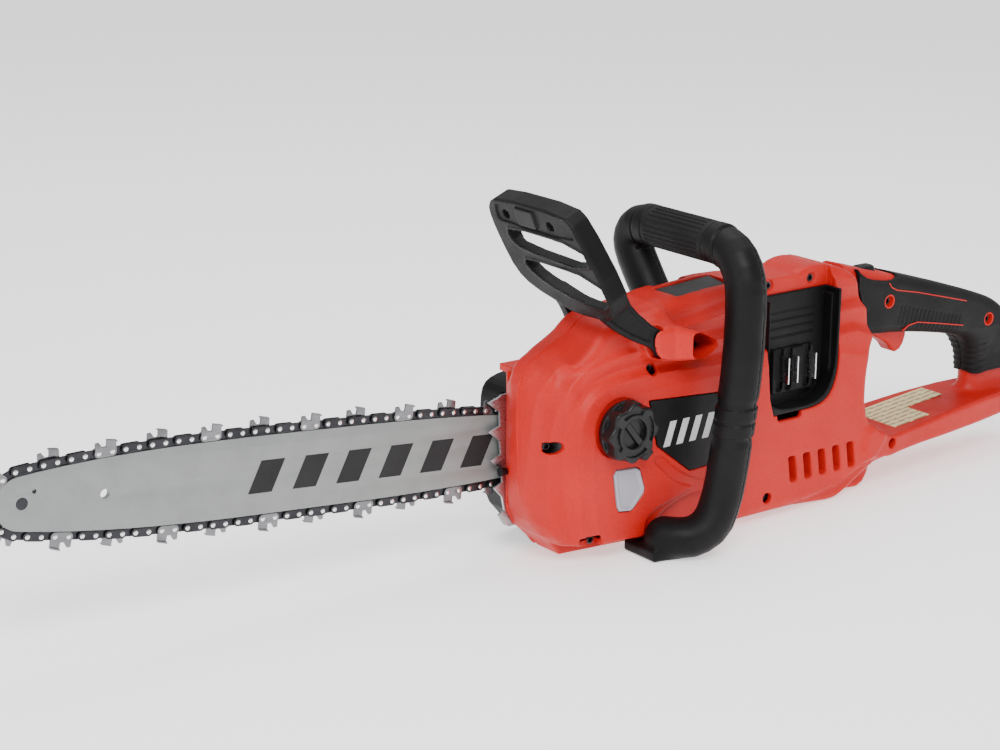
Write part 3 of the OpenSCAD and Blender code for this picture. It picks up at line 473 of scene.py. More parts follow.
SWOOSH = looped([(-10, 70), (-2, 71), (10, 60), (24, 50), (48, 42), (70, 30), (66, -8), (-16, -8), (-15, 20),
                 (-10, 30), (10, 35), (34, 41), (16, 46), (2, 58)])


def side_inset(x, z):
    """How far the left or right face lies inside the outermost plane."""
    s = 1.4 * step_up(inside_of(INNER_FLAT, x, z), 12)
    for edge, rise in ((FLAT, 6.2), (LAYER_1, 6.4), (LAYER_2, 6.0)):
        d = inside_of(edge, x, z)
        s = s + rise * (step_up(d, 8) - 0.5 * np.clip((d - 4) / 12, 0, 1))
    return s


def body_half(x, y, z, side):
    """One side's outer surface, as a solid that reaches past the middle plane; side is -1 on the left."""
    d = inside_of(BODY, x, z)
    across = (y - MID) * side
    face = HALF - side_inset(x, z)
    front = np.clip((-26 - x) / 56, 0, 1) * np.clip((z - 8) / 50, 0.25, 1)
    rear = np.clip((x - 140) / 30, 0, 1)
    run, edge = 15 + 22 * front - 10 * rear, 13 + (19 if side < 0 else 6) * front - 8 * rear
    qx = (d + run) * edge / run
    qy = across - face + edge
    return np.minimum(np.maximum(qx, qy), 0) + np.hypot(np.maximum(qx, 0), np.maximum(qy, 0)) - edge


def slimmer(x, z):
    """The rear leg is narrower than the grip above it."""
    return 6 * np.clip((106 - z) / 26, 0, 1) * np.clip((x - 305) / 25, 0, 1)


def handle_half(x, y, z, side):
    d = inside_of(HANDLE, x, z)
    return plate_of(d, (y - MID) * side + slimmer(x, z), -30, 15.4, 9, 10)


def footplate(x, y, z):
    d = inside_of(FOOTPLATE, x, z)
    p = inside_of(PLATE_PLAN, x, y)
    qx, qy = d + 3, p + 3
    return np.minimum(np.maximum(qx, qy), 0) + np.hypot(np.maximum(qx, 0), np.maximum(qy, 0)) - 3


print("outlines", len(BODY), len(HANDLE), len(FLAT))

# %% [markdown]
# ### Screws, vents and pockets
# Recesses have a short lead-in, because a moulded hole is never knife-edged. Each screw of the CAD model
# gets its well, found from the screws' own heads.

# %% Screw wells
def islands(node):
    """Centres and sizes of the separate solids of a CAD node, in millimetres."""
    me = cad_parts[node].data
    bm = bmesh.new()
    bm.from_mesh(me)
    bmesh.ops.remove_doubles(bm, verts=bm.verts, dist=1e-6)
    seen, out = set(), []
    for v in bm.verts:
        if v in seen:
            continue
        stack, group = [v], []
        seen.add(v)
        while stack:
            a = stack.pop()
            group.append(a.co.copy())
            for e in a.link_edges:
                b = e.other_vert(a)
                if b not in seen:
                    seen.add(b)
                    stack.append(b)
        g = np.array(group) / MM
        out.append((g.min(0), g.max(0)))
    bm.free()
    return out


SCREWS = []
for lo, hi in islands("housing_screws"):
    # where the corner of the shell is very round, or the wall is set back, the head sits deeper
    deeper = 15 if lo[0] < -80 else 5 if lo[0] < -50 else 5 if lo[2] > 160 else 0
    SCREWS.append(((lo[0] + hi[0]) / 2, (lo[2] + hi[2]) / 2, lo[1] + deeper, hi[1]))
print("screw wells", len(SCREWS), [tuple(round(v) for v in s) for s in SCREWS])


HEAD_WELL, SHANK_HOLE = 4.1, 2.3


def screw_wells(f, x, y, z):
    for sx, sz, sy, _ in SCREWS:
        r = np.hypot(x - sx, z - sz)
        well = np.maximum(r - HEAD_WELL, y - sy - 0.2)
        f = cut(f, well, 0.9)
        f = cut(f, np.maximum(r - SHANK_HOLE, y - MID - 30), 0)
    return f


def vent_pad(x, y, z, side):
    return box_of(x, (y - MID) * side, z, (114, HALF - 14, 22), (206, HALF - 2.5, 50), 1.0)


def vent_slots(x, y, z, side):
    f = 1e3
    for k in range(5):
        mx = 122 + 15 * k + 3 * (46 - z) / 20
        slot = box_of(x - mx, (y - MID) * side, z, (0, HALF - 10, 26), (7, HALF + 4, 46), 2.0)
        f = np.minimum(f, slot)
    return f


BAY = looped([(liner_low[0], 300), (liner_low[0], liner_low[2]), (120, liner_low[2]), (148, liner_low[2]),
              (162, 86), (169, 102), (liner_high[0], 124), (liner_high[0], 300)], 2)


def bay_space(x, y, z, side, grow=0.0):
    """The space of one battery, with its latch notch and open top."""
    across = (y - MID) * side
    x0, z0 = liner_low[0], liner_low[2]
    inner = MID - liner_high[1] - 0.5
    main = plate_of(inside_of(BAY, x, z) - grow, across, inner, HALF + 30, 1.5)
    lip = box_of(x, across, z, (x0 + 12, inner + 6, z0 - 5), (x0 + 36, HALF + 30, z0 + 10), 2.5)
    return np.minimum(main, lip)


# %% The left shell
def left_shell(x, y, z):
    outer = body_half(x, y, z, -1)
    # the underside rises above the handle's foot, and a scoop beside it keeps the wall's thickness
    sill = np.interp(x, [-30, 31, 110], [14.0, 8.5, -6.0])
    outer = cut(outer, np.maximum(y - LEFT - 26, z - sill), 3.0)
    outer = cut(outer, np.maximum(inside_of(SWOOSH, x, z), y - LEFT - 2.2), 2.5)
    outer = cut(outer, np.maximum(inside_of(FOOT_POCKET, x, z), y - LEFT - 8), 3.0)
    outer = both(outer, plate_of(inside_of(RIDGE, x, z), y, -60, -10, 7, 9), 8.0)
    # the cavity stops short of the battery bay and the rear column
    inner = outer + WALL
    column = box_of(x, y, z, (liner_high[0] + 0.5, LEFT, -20), (300, MID + 40, 300), 1)
    core = box_of(x, y, z, (liner_low[0] - 3, MID - 26, liner_low[2] - 3), (liner_high[0] + 3, MID + 40, 300),
                  1)
    inner = np.maximum(np.maximum(inner, -column), -core)
    f = np.maximum(outer, -inner)
    spine = box_of(x, y, z, (liner_low[0] - 2, liner_high[1], 80), (liner_high[0] + 2, MID + 2, 179), 1.2)
    behind = box_of(x, y, z, (liner_low[0] - 2, liner_high[1] + WALL, 70), (liner_high[0] + 2, MID + 9, 176),
                    1)
    f = cut(f, bay_space(x, y, z, -1, 0.3), 1.2)
    f = both(f, cut(spine, behind), 1.0)
    grip = handle_half(x, y, z, -1)
    grip = np.maximum(grip, -(grip + WALL + 1.5))
    f = both(f, np.maximum(grip, GRIP_START - x), 6.0)
    f = both(f, footplate(x, y, z), 9.0)
    # lug of the guard, with a flared root
    f = both(f, plate_of(rod_y(x, z, PIVOT_X, PIVOT_Z, 9.4), y, LEFT - 3, LEFT + 18, 2.0), 6.0)
    f = both(f, plate_of(inside_of(HOOD, x, z), y + 0.42 * np.clip(x + 4, 0, 60), LEFT - 13.4, LEFT + 18,
                         4.5), 9.0)
    # guard slot, cap mouth, window, panel and foot
    arm = np.maximum(np.maximum(np.abs(y - LEFT + 7.1) - 3.9, 146 - z), x - PIVOT_X + 3)
    arm = np.minimum(arm, np.maximum(rod_y(x, z, PIVOT_X, PIVOT_Z, 9.6), np.abs(y - LEFT + 7.1) - 3.9))
    f = cut(f, arm, 0.6)
    f = cut(f, np.maximum(rod_y(x, z, PIVOT_X, PIVOT_Z, 4.2), np.abs(y - LEFT) - 10.8), 0.3)
    f = cut(f, np.maximum(rod_y(x, z, CAP_X, CAP_Z, 21.2), y - LEFT - 1.4), 1.0)
    f = cut(f, np.maximum(rod_y(x, z, CAP_X, CAP_Z, 17), y - LEFT - 20))
    pane = inside_of(WINDOW, x, z)
    f = cut(f, np.maximum(pane - 0.4, y - LEFT - 12), 0.8)
    panel = inside_of(PANEL, x, z)
    f = cut(f, np.maximum(panel - 0.5, y - LEFT - 1.6), 0.8)
    f = both(f, vent_pad(x, y, z, -1), 0.5)
    f = cut(f, vent_slots(x, y, z, -1), 1.6)
    f = cut(f, foot_space(x, y, z), 1.0)
    f = cut(f, trigger_space(x, y, z), 1.5)
    f = screw_wells(f, x, y, z)
    f = cut(f, panel_seat(x, y, z), 0.8)
    f = cut(f, box_of(x, y, z, (-70, LEFT - 5, 12.5), (-53, LEFT + 9, 23), 4.5), 1.2)
    f = cut(f, np.maximum(np.hypot((x + 88) * 0.62, z - 89) - 4.4, y - LEFT - 21), 1.2)
    return np.maximum(f, y - MID - 1)


WINDOW = looped([(-45.5, 68), (-22, 66.5), (-16, 48), (-28, 35), (-41, 37)], 1, 0.12)
HOOD = looped([(-22, 158), (-21, 166), (-11, 169), (2, 167), (18, 161), (34, 152), (24, 144), (4, 142),
               (-14, 144), (-20, 150)], 1)
PANEL = [(-14, 113), (52, 108), (46, 56), (25, 55), (-6, 79)]


def panel_seat(x, y, z, low=0.0, high=30.0, gap=0.4):
    """Space of the printed panel on the sloping top."""
    up = z - 175.4 - 0.06 * (x - 26) - 0.10 * (y + 32)
    return box_of(x, y, up, (26 - gap, -45 - gap, low), (78 + gap, -20 + gap, high), 1.0)


def foot_space(x, y, z):
    return box_of(x, y, z, (-36.8, LEFT - 30, -20), (2.8, MID - 21, 9.8), 1.0)


def trigger_space(x, y, z):
    slot = box_of(x, y, z, (224, MID - 9, 92), (276, MID + 9, 139), 1.5)
    button = box_of(x, y, z, (216.5, MID - 7.2, 150), (239.5, MID + 7.2, 200), 2.0)
    return np.minimum(slot, button)


left = skin("left_shell", (-103, LEFT - 17, 0), (416, MID + 1, 185), STEP, left_shell)
fit(left, "housing", red_shell, "red_shell", "left_housing")

# %% The right shell
def right_shell(x, y, z):
    outer = body_half(x, y, z, 1)
    outer = both(outer, plate_of(inside_of(RIDGE, x, z), y, -60, -10, 7, 9), 8.0)
    inner = outer + WALL
    column = box_of(x, y, z, (liner_high[0] + 0.5, MID - 40, -20), (300, RIGHT, 300), 1)
    core = box_of(x, y, z, (liner_low[0] - 3, MID - 40, liner_low[2] - 3), (liner_high[0] + 3, MID + 26, 300),
                  1)
    inner = np.maximum(np.maximum(inner, -column), -core)
    f = np.maximum(outer, -inner)
    f = cut(f, bay_space(x, y, z, 1, 0.3), 1.2)
    spine_y = 2 * MID - liner_high[1]
    spine = box_of(x, y, z, (liner_low[0] - 2, MID - 2, 80), (liner_high[0] + 2, spine_y, 179), 1.2)
    behind = box_of(x, y, z, (liner_low[0] - 2, MID - 9, 70), (liner_high[0] + 2, spine_y - WALL, 176), 1)
    f = both(f, cut(spine, behind), 1.0)
    grip = handle_half(x, y, z, 1)
    grip = np.maximum(grip, -(grip + WALL + 1.5))
    f = both(f, np.maximum(grip, GRIP_START - x), 6.0)
    f = both(f, footplate(x, y, z), 9.0)
    # open side for the bar, and the wall behind it
    f = cut(f, box_of(x, y, z, (-130, FACE, -20), (68, 80, 134), 0.5), 0.6)
    d = inside_of(BODY, x, z)
    wall = np.maximum(np.maximum(d, np.abs(y - FACE + WALL / 2) - WALL / 2), x - 71)
    wall = np.maximum(wall, z - 135)
    f = both(f, wall, 0.6)
    f = both(f, box_of(x, y, z, (67.5, FACE - WALL, 4), (71, RIGHT - 6, 166), 0.4), 0.4)
    f = both(f, np.maximum(box_of(x, y, z, (-90, FACE - 1, 131), (70, RIGHT - 2, 136), 0.4), d + 1), 0.4)
    f = cut(f, box_of(x, y, z, (-57, FACE - 4, 109), (16, 4, 200), 1.0), 1.0)
    f = cut(f, np.maximum(rod_y(x, z, 0, SPINDLE_Z, 10), -y - 24))
    f = cut(f, box_of(x, y, z, (-113, FACE - 2.05, 19), (-69.3, FACE + 1, 121), 0.2))
    f = both(f, vent_pad(x, y, z, 1), 0.5)
    f = cut(f, vent_slots(x, y, z, 1), 1.6)
    f = cut(f, trigger_space(x, y, z), 1.5)
    f = cut(f, box_of(x, y, z, (29.8, MID + 12.8, 149.8), (60.2, RIGHT + 10, 260), 1.0), 1.2)
    f = np.maximum(f, (-102 + 8 * np.clip((y - MID) / (FACE - MID), 0, 1) ** 2 - x) * 0.85)
    f = cut(f, panel_seat(x, y, z), 0.8)
    return np.maximum(f, MID - 1 - y)


FACE = corners("spike_bumper")[1][1]
SPINDLE_Z = (corners("brake_drum")[0][2] + corners("brake_drum")[1][2]) / 2
right = skin("right_shell", (-103, MID - 1, 0), (416, RIGHT, 185), STEP, right_shell)
fit(right, "housing", red_shell, "red_shell", "right_housing")

# %% [markdown]
# ## More building helpers
# A path helper measures distance from a bent centre line, which is what a moulded tube handle is.
# Stamped and cut parts come from their CAD mesh: coplanar faces are joined and the sharp edges get a
# small bevel, because a stamped or moulded edge always catches a thin line of light.

# %% Paths, softened CAD parts, mirrored parts
def along(path, x, y, z):
    """Distance to a path, and the X of the nearest point on it."""
    p = np.array(path, float)
    p = np.vstack([p[:1], np.stack([p[:-1] * 0.75 + p[1:] * 0.25, p[:-1] * 0.25 + p[1:] * 0.75],
                                   axis=1).reshape(-1, 3), p[-1:]])
    shape = np.broadcast(x, y, z).shape
    near, centre = np.full(shape, 1e9), np.zeros(shape)
    for a, b in zip(p[:-1], p[1:]):
        e = b - a
        size = np.linalg.norm(e)
        k = np.clip(((x - a[0]) * e[0] + (y - a[1]) * e[1] + (z - a[2]) * e[2]) / size ** 2, 0, 1)
        d = (x - a[0] - k * e[0]) ** 2 + (y - a[1] - k * e[1]) ** 2 + (z - a[2] - k * e[2]) ** 2
        closer = d < near
        near = np.where(closer, d, near)
        centre = np.where(closer, a[0] + k * e[0], centre)
    return np.sqrt(near), centre


def softened(node, body, finish, slot_name, width=0.4, name=None, limit=32):
    """The CAD part with bevelled edges."""
    bm = bmesh.new()
    bm.from_mesh(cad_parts[node].data)
    bmesh.ops.remove_doubles(bm, verts=bm.verts, dist=2e-6)
    bmesh.ops.dissolve_limit(bm, angle_limit=math.radians(0.8), verts=bm.verts, edges=bm.edges)
    sharp = [e for e in bm.edges if len(e.link_faces) == 2 and e.calc_face_angle() > math.radians(limit)]
    bmesh.ops.bevel(bm, geom=sharp, offset=width * MM, offset_type="OFFSET", segments=2, profile=0.6,
                    affect="EDGES", clamp_overlap=True)
    me = bpy.data.meshes.new(name or node + "_soft")
    bm.to_mesh(me)
    bm.free()
    me.shade_smooth()
    me.set_sharp_from_angle(angle=math.radians(28))
    o = bpy.data.objects.new(name or node + "_soft", me)
    bpy.context.collection.objects.link(o)
    return fit(o, body, finish, slot_name, node)


def mirrored(o, name):
    """The same piece on the other side of the middle plane."""
    me = o.data.copy()
    me.transform(Matrix.Translation((0, 2 * MID * MM, 0)) @ Matrix.Scale(-1, 4, (0, 1, 0)))
    me.flip_normals()
    me.name = name
    c = bpy.data.objects.new(name, me)
    bpy.context.collection.objects.link(c)
    return c


def blocks(name, outlines, y0, y1):
    """Flat plates standing on a side view, from one or more outlines."""
    verts, faces = [], []
    for p in outlines:
        n, k = len(p), len(verts)
        turn = sum(a[0] * b[1] - b[0] * a[1] for a, b in zip(p, p[1:] + p[:1]))
        p = p if turn > 0 else p[::-1]
        verts += [(x, y0, z) for x, z in p] + [(x, y1, z) for x, z in p]
        faces += [tuple(range(k, k + n)), tuple(range(k + 2 * n - 1, k + n - 1, -1))]
        faces += [(k + i, k + n + i, k + n + (i + 1) % n, k + (i + 1) % n) for i in range(n)]
    return mesh_from(name, verts, faces, smooth=False)


# %% [markdown]
# ## Front handle
# One moulded tube runs from the foot under the left shell, up beside the body, over the top and down
# into the right shell's seat. A ring of bands strengthens the near leg, a seam runs along it where the
# two halves are welded, and the rubber sleeve sits between two collars.

# %% The handle tube
TUBE_R = 14.8
TUBE_X = 45
LEG_Y = corners("front_handle")[0][1] + TUBE_R
SLEEVE_0, SLEEVE_1 = grip_low[1], grip_high[1]
HANDLE_PATH = [(-6, LEG_Y + 20, 14.6), (0, LEG_Y + 12, 14.6), (9, LEG_Y + 5, 16), (20, LEG_Y, 24),
               (28, LEG_Y, 40), (33, LEG_Y, 62), (38, LEG_Y, 96), (44, LEG_Y, 140), (TUBE_X, LEG_Y, 184),
               (TUBE_X, LEG_Y + 3, 201), (TUBE_X, LEG_Y + 12, 213), (TUBE_X, LEG_Y + 25, GRIP_Z),
               (TUBE_X, SLEEVE_0, GRIP_Z), (TUBE_X, SLEEVE_1, GRIP_Z), (TUBE_X, 10, GRIP_Z),
               (TUBE_X, 21, 215), (TUBE_X, 27, 206), (TUBE_X, 25, 196), (TUBE_X, 12, 178), (TUBE_X, -2, 160)]


def band(v, centre, half, soft=1.0):
    """1 inside a band, 0 outside, with soft sides."""
    return np.clip((half - np.abs(v - centre)) / soft + 0.5, 0, 1)


def handle_field(x, y, z):
    d, cx = along(HANDLE_PATH, x, y, z)
    top = (z > 200) & (y > SLEEVE_0 - 14) & (y < SLEEVE_1 + 14)
    r = 14.5 + 0 * d
    r = r - 1.0 * band(z, 98, 15, 5) * (y < -80) + 1.3 * band(z, 98, 10, 0.8) * (y < -80)
    r = r - 0.9 * band(z, 98, 1.2, 0.6) * (y < -80)
    r = (r + 0.7 * top * (band(y, SLEEVE_0 - 5, 4.6, 0.8) + band(y, SLEEVE_1 + 5, 4.6, 0.8)) - 0.9 * top
         * (band(y, SLEEVE_0 - 10.5, 0.9, 0.5) + band(y, SLEEVE_1 + 10.5, 0.9, 0.5)))
    r = r - 1.4 * top * band(y, (SLEEVE_0 + SLEEVE_1) / 2, (SLEEVE_1 - SLEEVE_0) / 2, 0.4)
    f = d - r
    seam = np.maximum(np.abs(x - cx - 4.5) - 0.45, r - 0.7 - d)
    f = np.maximum(f, -np.where(top & (y > SLEEVE_0 - 1) & (y < SLEEVE_1 + 1), 1e3, seam))
    foot = box_of(x, y, z, (-22, LEG_Y + 12, 0), (12, -50, 8.6), 2.4)
    f = both(f, foot, 7.0)
    seat = box_of(x, y, z, (32.3, MID + 13.6, 150.1), (57.7, 6, 164), 2.0)
    f = both(f, seat, 5.0)
    f = cut(f, np.maximum(np.hypot(x + 12, y + 56) - 3.7, z - 3), 0.3)
    f = cut(f, np.maximum(rod_y(x, z, TUBE_X, 156, 3.8), 4 - y), 0.3)
    return np.maximum(f, -z + 0.05)


handle = skin("handle_tube", (-37, LEG_Y - 15, 0), (61, 44, 234), STEP, handle_field)
fit(handle, "housing", black_shell, "black_plastic", "front_handle")


# %% Ribbed sleeve
def sleeve_field(x, y, z):
    d = np.hypot(x - GRIP_X, z - GRIP_Z)
    a = np.arctan2(z - GRIP_Z, x - GRIP_X)
    ends = np.clip((np.minimum(y - SLEEVE_0, SLEEVE_1 - y) - 4) / 1.5, 0, 1)
    r = 15.0 - ends * (0.35 + 0.45 * np.clip(np.cos(26 * a) * 1.6, -1, 1))
    f = np.maximum(d - r, np.maximum(SLEEVE_0 - y, y - SLEEVE_1))
    return np.maximum(f, 13.3 - d)


sleeve = skin("grip_sleeve", (29, SLEEVE_0, 202), (61, SLEEVE_1, 234), STEP * 0.6, sleeve_field, angle=50)
fit(sleeve, "housing", soft_black, "black_rubber", "front_grip")

# %% [markdown]
# ## Hand guard
# The guard is a tilted panel with two long slots. Its near edge leans outwards towards the bottom, the
# slots have raised rims, the top carries a shallow recess with a small pad, and two holes sit beside it.
# The back is cored out inside a narrow frame. Two arms carry it: one outside the left lug, one in the right
# shell.

# %% Guard
LEAN = math.radians(22.6)
GUARD = looped([(23, 60), (21, 72), (8, 79), (-64, 79), (-75, 69), (-90, 20), (-87, 4), (-78, -2), (-42, -4),
                (-30, 0), (0, 8), (14, 19), (20, 40)], 1)
SLOT_HIGH = looped([(-79, 38), (-6, 41), (6, 48), (3, 57), (-76, 56)], 1)
SLOT_LOW = looped([(-88, 9), (-54, 10), (-22, 17), (-3, 27), (-6, 34), (-83, 32)], 1)
GUARD_TOP = looped([(9, 77), (14, 62), (7, 60), (-69, 59), (-73, 68), (-64, 77)], 1)
NEAR_ARM = looped([(-66, 182), (-58, 192), (-45, 196), (-40, 186), (-17, 167), (-3, 162), (-2, 149),
                   (-14, 148), (-24, 156), (-34, 160), (-50, 169), (-60, 176)], 1)
FAR_ARM = looped([(-56, 186), (-48, 194), (-30, 182), (-2, 164), (-3, 146), (-12, 146), (-28, 151),
                  (-36, 156), (-39, 164), (-46, 176)], 1)


def guard_field(x, y, z):
    u = (x + 58) * math.cos(LEAN) + (z - 184) * math.sin(LEAN)
    w = -(x + 58) * math.sin(LEAN) + (z - 184) * math.cos(LEAN)
    d = inside_of(GUARD, y, w)
    high, low = inside_of(SLOT_HIGH, y, w), inside_of(SLOT_LOW, y, w)
    slots = np.minimum(high, low)
    f = plate_of(d, u, -7, 9, 2.4)
    rim = np.maximum(np.abs(slots - 0.6) - 1.3, np.abs(u + 2) - 5.7)
    f = both(f, rim, 1.0)
    f = cut(f, np.maximum(inside_of(GUARD_TOP, y, w), u + 5.7), 0.7)
    f = both(f, box_of(u, y, w, (-7.4, -31, 61), (-4, -11, 75), 0.8), 0.5)
    f = cut(f, np.minimum(np.hypot(y - 3, w - 66) - 3.6, np.hypot(y + 46, w - 66) - 3.6), 0.5)
    core = np.maximum(d + 4.2, 0.2 - u)
    f = cut(f, core, 0.6)
    f = cut(f, slots, 0.8)
    ring = rod_y(x, z, PIVOT_X, PIVOT_Z, 9)
    near = plate_of(np.minimum(inside_of(NEAR_ARM, x, z), ring), y, LEFT - 10.2, LEFT - 4, 1.6)
    groove = np.maximum(inside_of(NEAR_ARM, x, z) + 3.6, np.maximum(y - LEFT + 9.2, 6.0 - ring))
    far = plate_of(np.minimum(inside_of(FAR_ARM, x, z), ring), y, -8, 1, 1.4)
    tail = box_of(x, y, z, (-12.6, -8, 116), (-4, 1, 152), 1.0)
    f = both(f, cut(near, groove, 0.5), 2.0)
    f = both(f, both(far, tail, 1.0), 2.0)
    return cut(f, rod_y(x, z, PIVOT_X, PIVOT_Z, 4.1), 0.3)


guard = skin("guard_panel", (-97, -92, 115), (0, 25, 260), STEP * 0.9, guard_field)
fit(guard, "guard", black_shell, "black_plastic", "hand_guard")

# %% [markdown]
# ## Rear handle overmould
# Soft plastic wraps the red handle behind a curved border. It leaves the top open around the lock
# button, and it carries thin red lines, a ribbed pad and red rings round the screws.

# %% Grip covers
COVER = looped([(192, 182), (202, 168), (208, 153), (215, 131), (221, 110), (262, 106), (331, 90), (331, 66),
                (402, 66), (400, 104), (384, 122), (300, 170), (256, 190)], 1)
BUTTON_GAP = looped([(196, 200), (206, 171), (217, 163), (244, 158), (254, 161), (260, 200)], 1)
GRIP_Y = corners("left_grip_cover")[0][1]
GRIP_SCREWS = [(240, 143), (354, 112)]


def grip_axis(x, z):
    """Position along and across the sloping rear handle."""
    c, s = math.cos(math.radians(-15)), math.sin(math.radians(-15))
    return (x - 240) * c + (z - 143) * s, -(x - 240) * s + (z - 143) * c


def grip_cover_field(x, y, z):
    d = inside_of(HANDLE, x, z) - 1.3
    f = plate_of(d, y - slimmer(x, z), GRIP_Y, MID + 30, 10, 9)
    border = np.maximum(inside_of(COVER, x, z), -inside_of(BUTTON_GAP, x, z))
    border = np.maximum(border, COVER_START - x)
    f = np.maximum(f, border) + 0.25 * np.exp(-((border + 2.4) / 0.7) ** 2)
    f = np.maximum(f, -(handle_half(x, y, z, -1) - 0.15))
    across, up = grip_axis(x, z)
    pad = np.maximum(np.abs(across - 50) - 37, np.abs(up + 8.5) - 8.0)
    ribs = np.clip(np.cos(across * 2 * math.pi / 4.6) * 1.5, -1, 1) * 0.35 + 0.35
    f = f + np.where((pad < 0) & (y < GRIP_Y + 6), ribs * np.clip(-pad, 0, 1), 0)
    gaiter = (np.clip(np.cos(z * 2 * math.pi / 5.0), 0, 1) * np.clip((362 - x) / 6, 0, 1)
              * np.clip((96 - z) / 3, 0, 1) * 0.7)
    f = f - gaiter
    for sx, sz in GRIP_SCREWS:
        f = cut(f, rod_y(x, z, sx, sz, 5.4), 0.6)
    f = cut(f, trigger_space(x, y, z), 1.0)
    return np.maximum(f, y - MID + 0.15)


left_cover = skin("left_overmould", (205.5, GRIP_Y, 65.5), (396, MID, 175), STEP * 0.8, grip_cover_field)
fit(left_cover, "housing", soft_black, "black_rubber", "left_grip_cover")
fit(mirrored(left_cover, "right_overmould"), "housing", soft_black, "black_rubber", "right_grip_cover")


# %% Red lines and rings on the handle
def stroke(p, wide):
    """A polyline thickened to an outline."""
    p = np.array(p, float)
    t = np.gradient(p, axis=0)
    n = np.stack([-t[:, 1], t[:, 0]], axis=1) / np.linalg.norm(t, axis=1)[:, None]
    return [tuple(v) for v in np.vstack([p + n * wide / 2, (p - n * wide / 2)[::-1]])]


LINE_TOP = [(238, 158), (241, 154), (247, 151), (270, 146), (300, 138), (326, 131)]
LINE_LOW = [(256, 117.5), (262, 121), (272, 122), (300, 116.5), (324, 111.5)]
LINE_WIDE = 0.8
lines = blocks("left_grip_lines", [stroke(LINE_TOP, LINE_WIDE), stroke(LINE_LOW, LINE_WIDE)], GRIP_Y - 0.25,
               GRIP_Y + 1.2)
fit(lines, "housing", red_shell, "red_shell")
fit(mirrored(lines, "right_grip_lines"), "housing", red_shell, "red_shell")


def ring_field(x, y, z):
    f = 1e3
    for sx, sz in GRIP_SCREWS:
        r = np.hypot(x - sx, z - sz)
        f = np.minimum(f, plate_of(np.abs(r - 4.9) - 0.7, y, GRIP_Y + 0.1, GRIP_Y + 4.2, 0.5))
    return f


rings = skin("left_grip_rings", (233, GRIP_Y, 104), (362, GRIP_Y + 6, 150), STEP * 0.5, ring_field)
fit(rings, "housing", red_shell, "red_shell")

# %% Trigger and lock button
trigger_low, trigger_high = corners("trigger")
TX, TZ = trigger_low[0] + 6, trigger_high[2] - 6
TRIGGER = looped([(TX - 6, TZ + 4), (TX + 4, TZ + 6), (TX + 33, TZ - 1), (TX + 38, TZ - 12),
                  (TX + 33, TZ - 25), (TX + 24, TZ - 28), (TX + 16, TZ - 18), (TX + 2, TZ - 11),
                  (TX - 6, TZ - 6)], 1)
button_low, button_high = corners("lock_button")


def trigger_field(x, y, z):
    f = plate_of(inside_of(TRIGGER, x, z), y, trigger_low[1], trigger_high[1], 3.0)
    f = both(f, plate_of(rod_y(x, z, TX, TZ, 5.6), y, trigger_low[1], trigger_high[1], 1.0), 1.0)
    return cut(f, rod_y(x, z, TX, TZ, 2.6))


def button_field(x, y, z):
    f = box_of(x, y, z, tuple(button_low), (button_high[0], button_high[1], button_high[2] - 5), 3.6)
    ribs = (np.clip(np.cos((x - button_low[0]) * 2 * math.pi / 3.4), 0, 1) * 0.5
            * np.clip(z - button_high[2] + 6.5, 0, 1))
    return f + ribs


fit(skin("trigger_lever", trigger_low, trigger_high, STEP * 0.5, trigger_field), "trigger", red_shell,
    "red_shell", "trigger")
fit(skin("lock_off_button", button_low, button_high, STEP * 0.5, button_field), "button", gloss_black,
    "black_plastic", "lock_button")

# %% [markdown]
# ## Oil cap and oil window
# The cap is turned by hand: shallow lobes round its edge, four grooves in its face, a sunk centre with
# a grip bar, and a small tab that shows how far it is turned.

# %% Cap
def cap_field(x, y, z):
    dx, dz = x - CAP_X, z - CAP_Z
    r, a = np.hypot(dx, dz), np.arctan2(dz, dx)
    edge = 20.2 + 1.5 * np.cos(8 * a)
    low, high = cap_low[1], LEFT - 3.3
    f = plate_of(r - edge, y, low, high, 2.2)
    f = both(f, plate_of(r - 21.6, y, high - 3.2, high, 0.8), 0.8)
    tab_along, tab_across = dx * 0.62 - dz * 0.785, dx * 0.785 + dz * 0.62
    tab = box_of(tab_along, tab_across, y, (14, -4.5, low + 1.5), (25.5, 4.5, high), 1.6)
    f = both(f, tab, 1.5)
    groove = np.maximum(np.abs(r - 15.2) - 1.5,
                        np.maximum(y - low - 1.7, 3.2 - r * np.abs(np.sin(2 * (a - 0.9))) / 2))
    f = cut(f, groove, 0.6)
    dish = np.maximum(r - 10.5, y - low - 4.0)
    f = cut(f, dish, 0.9)
    bar = box_of(dx * 0.62 - dz * 0.785, dx * 0.785 + dz * 0.62, y, (-10.2, -2.4, low + 0.9),
                 (10.2, 2.4, low + 6), 0.8)
    f = both(f, bar, 0.8)
    return both(f, np.maximum(r - 13.9, np.abs(y - (high + cap_high[1]) / 2) - (cap_high[1] - high) / 2), 0.2)


cap = skin("cap_body", (CAP_X - 26, cap_low[1], CAP_Z - 26), (CAP_X + 26, cap_high[1], CAP_Z + 26),
           STEP * 0.5, cap_field)
fit(cap, "cap", gloss_black, "black_plastic", "oil_cap")


# %% Window
def window_field(x, y, z):
    d = inside_of(WINDOW, x, z)
    f = plate_of(d, y, LEFT + 0.4, LEFT + 5, 1.0)
    f = both(f, plate_of(np.abs(d + 1.6) - 1.2, y, LEFT - 0.5, LEFT + 4, 0.7), 0.8)
    return f


window = skin("oil_sight", (-47, LEFT - 1, 33), (-14, LEFT + 5, 70), STEP * 0.6, window_field)
fit(window, "housing", window_frost, "window", "oil_window")

# %% [markdown]
# ## Battery bays
# Each bay has a black tray with round lower corners, guide ribs on its back, and a terminal block with
# a slot for each bright blade.

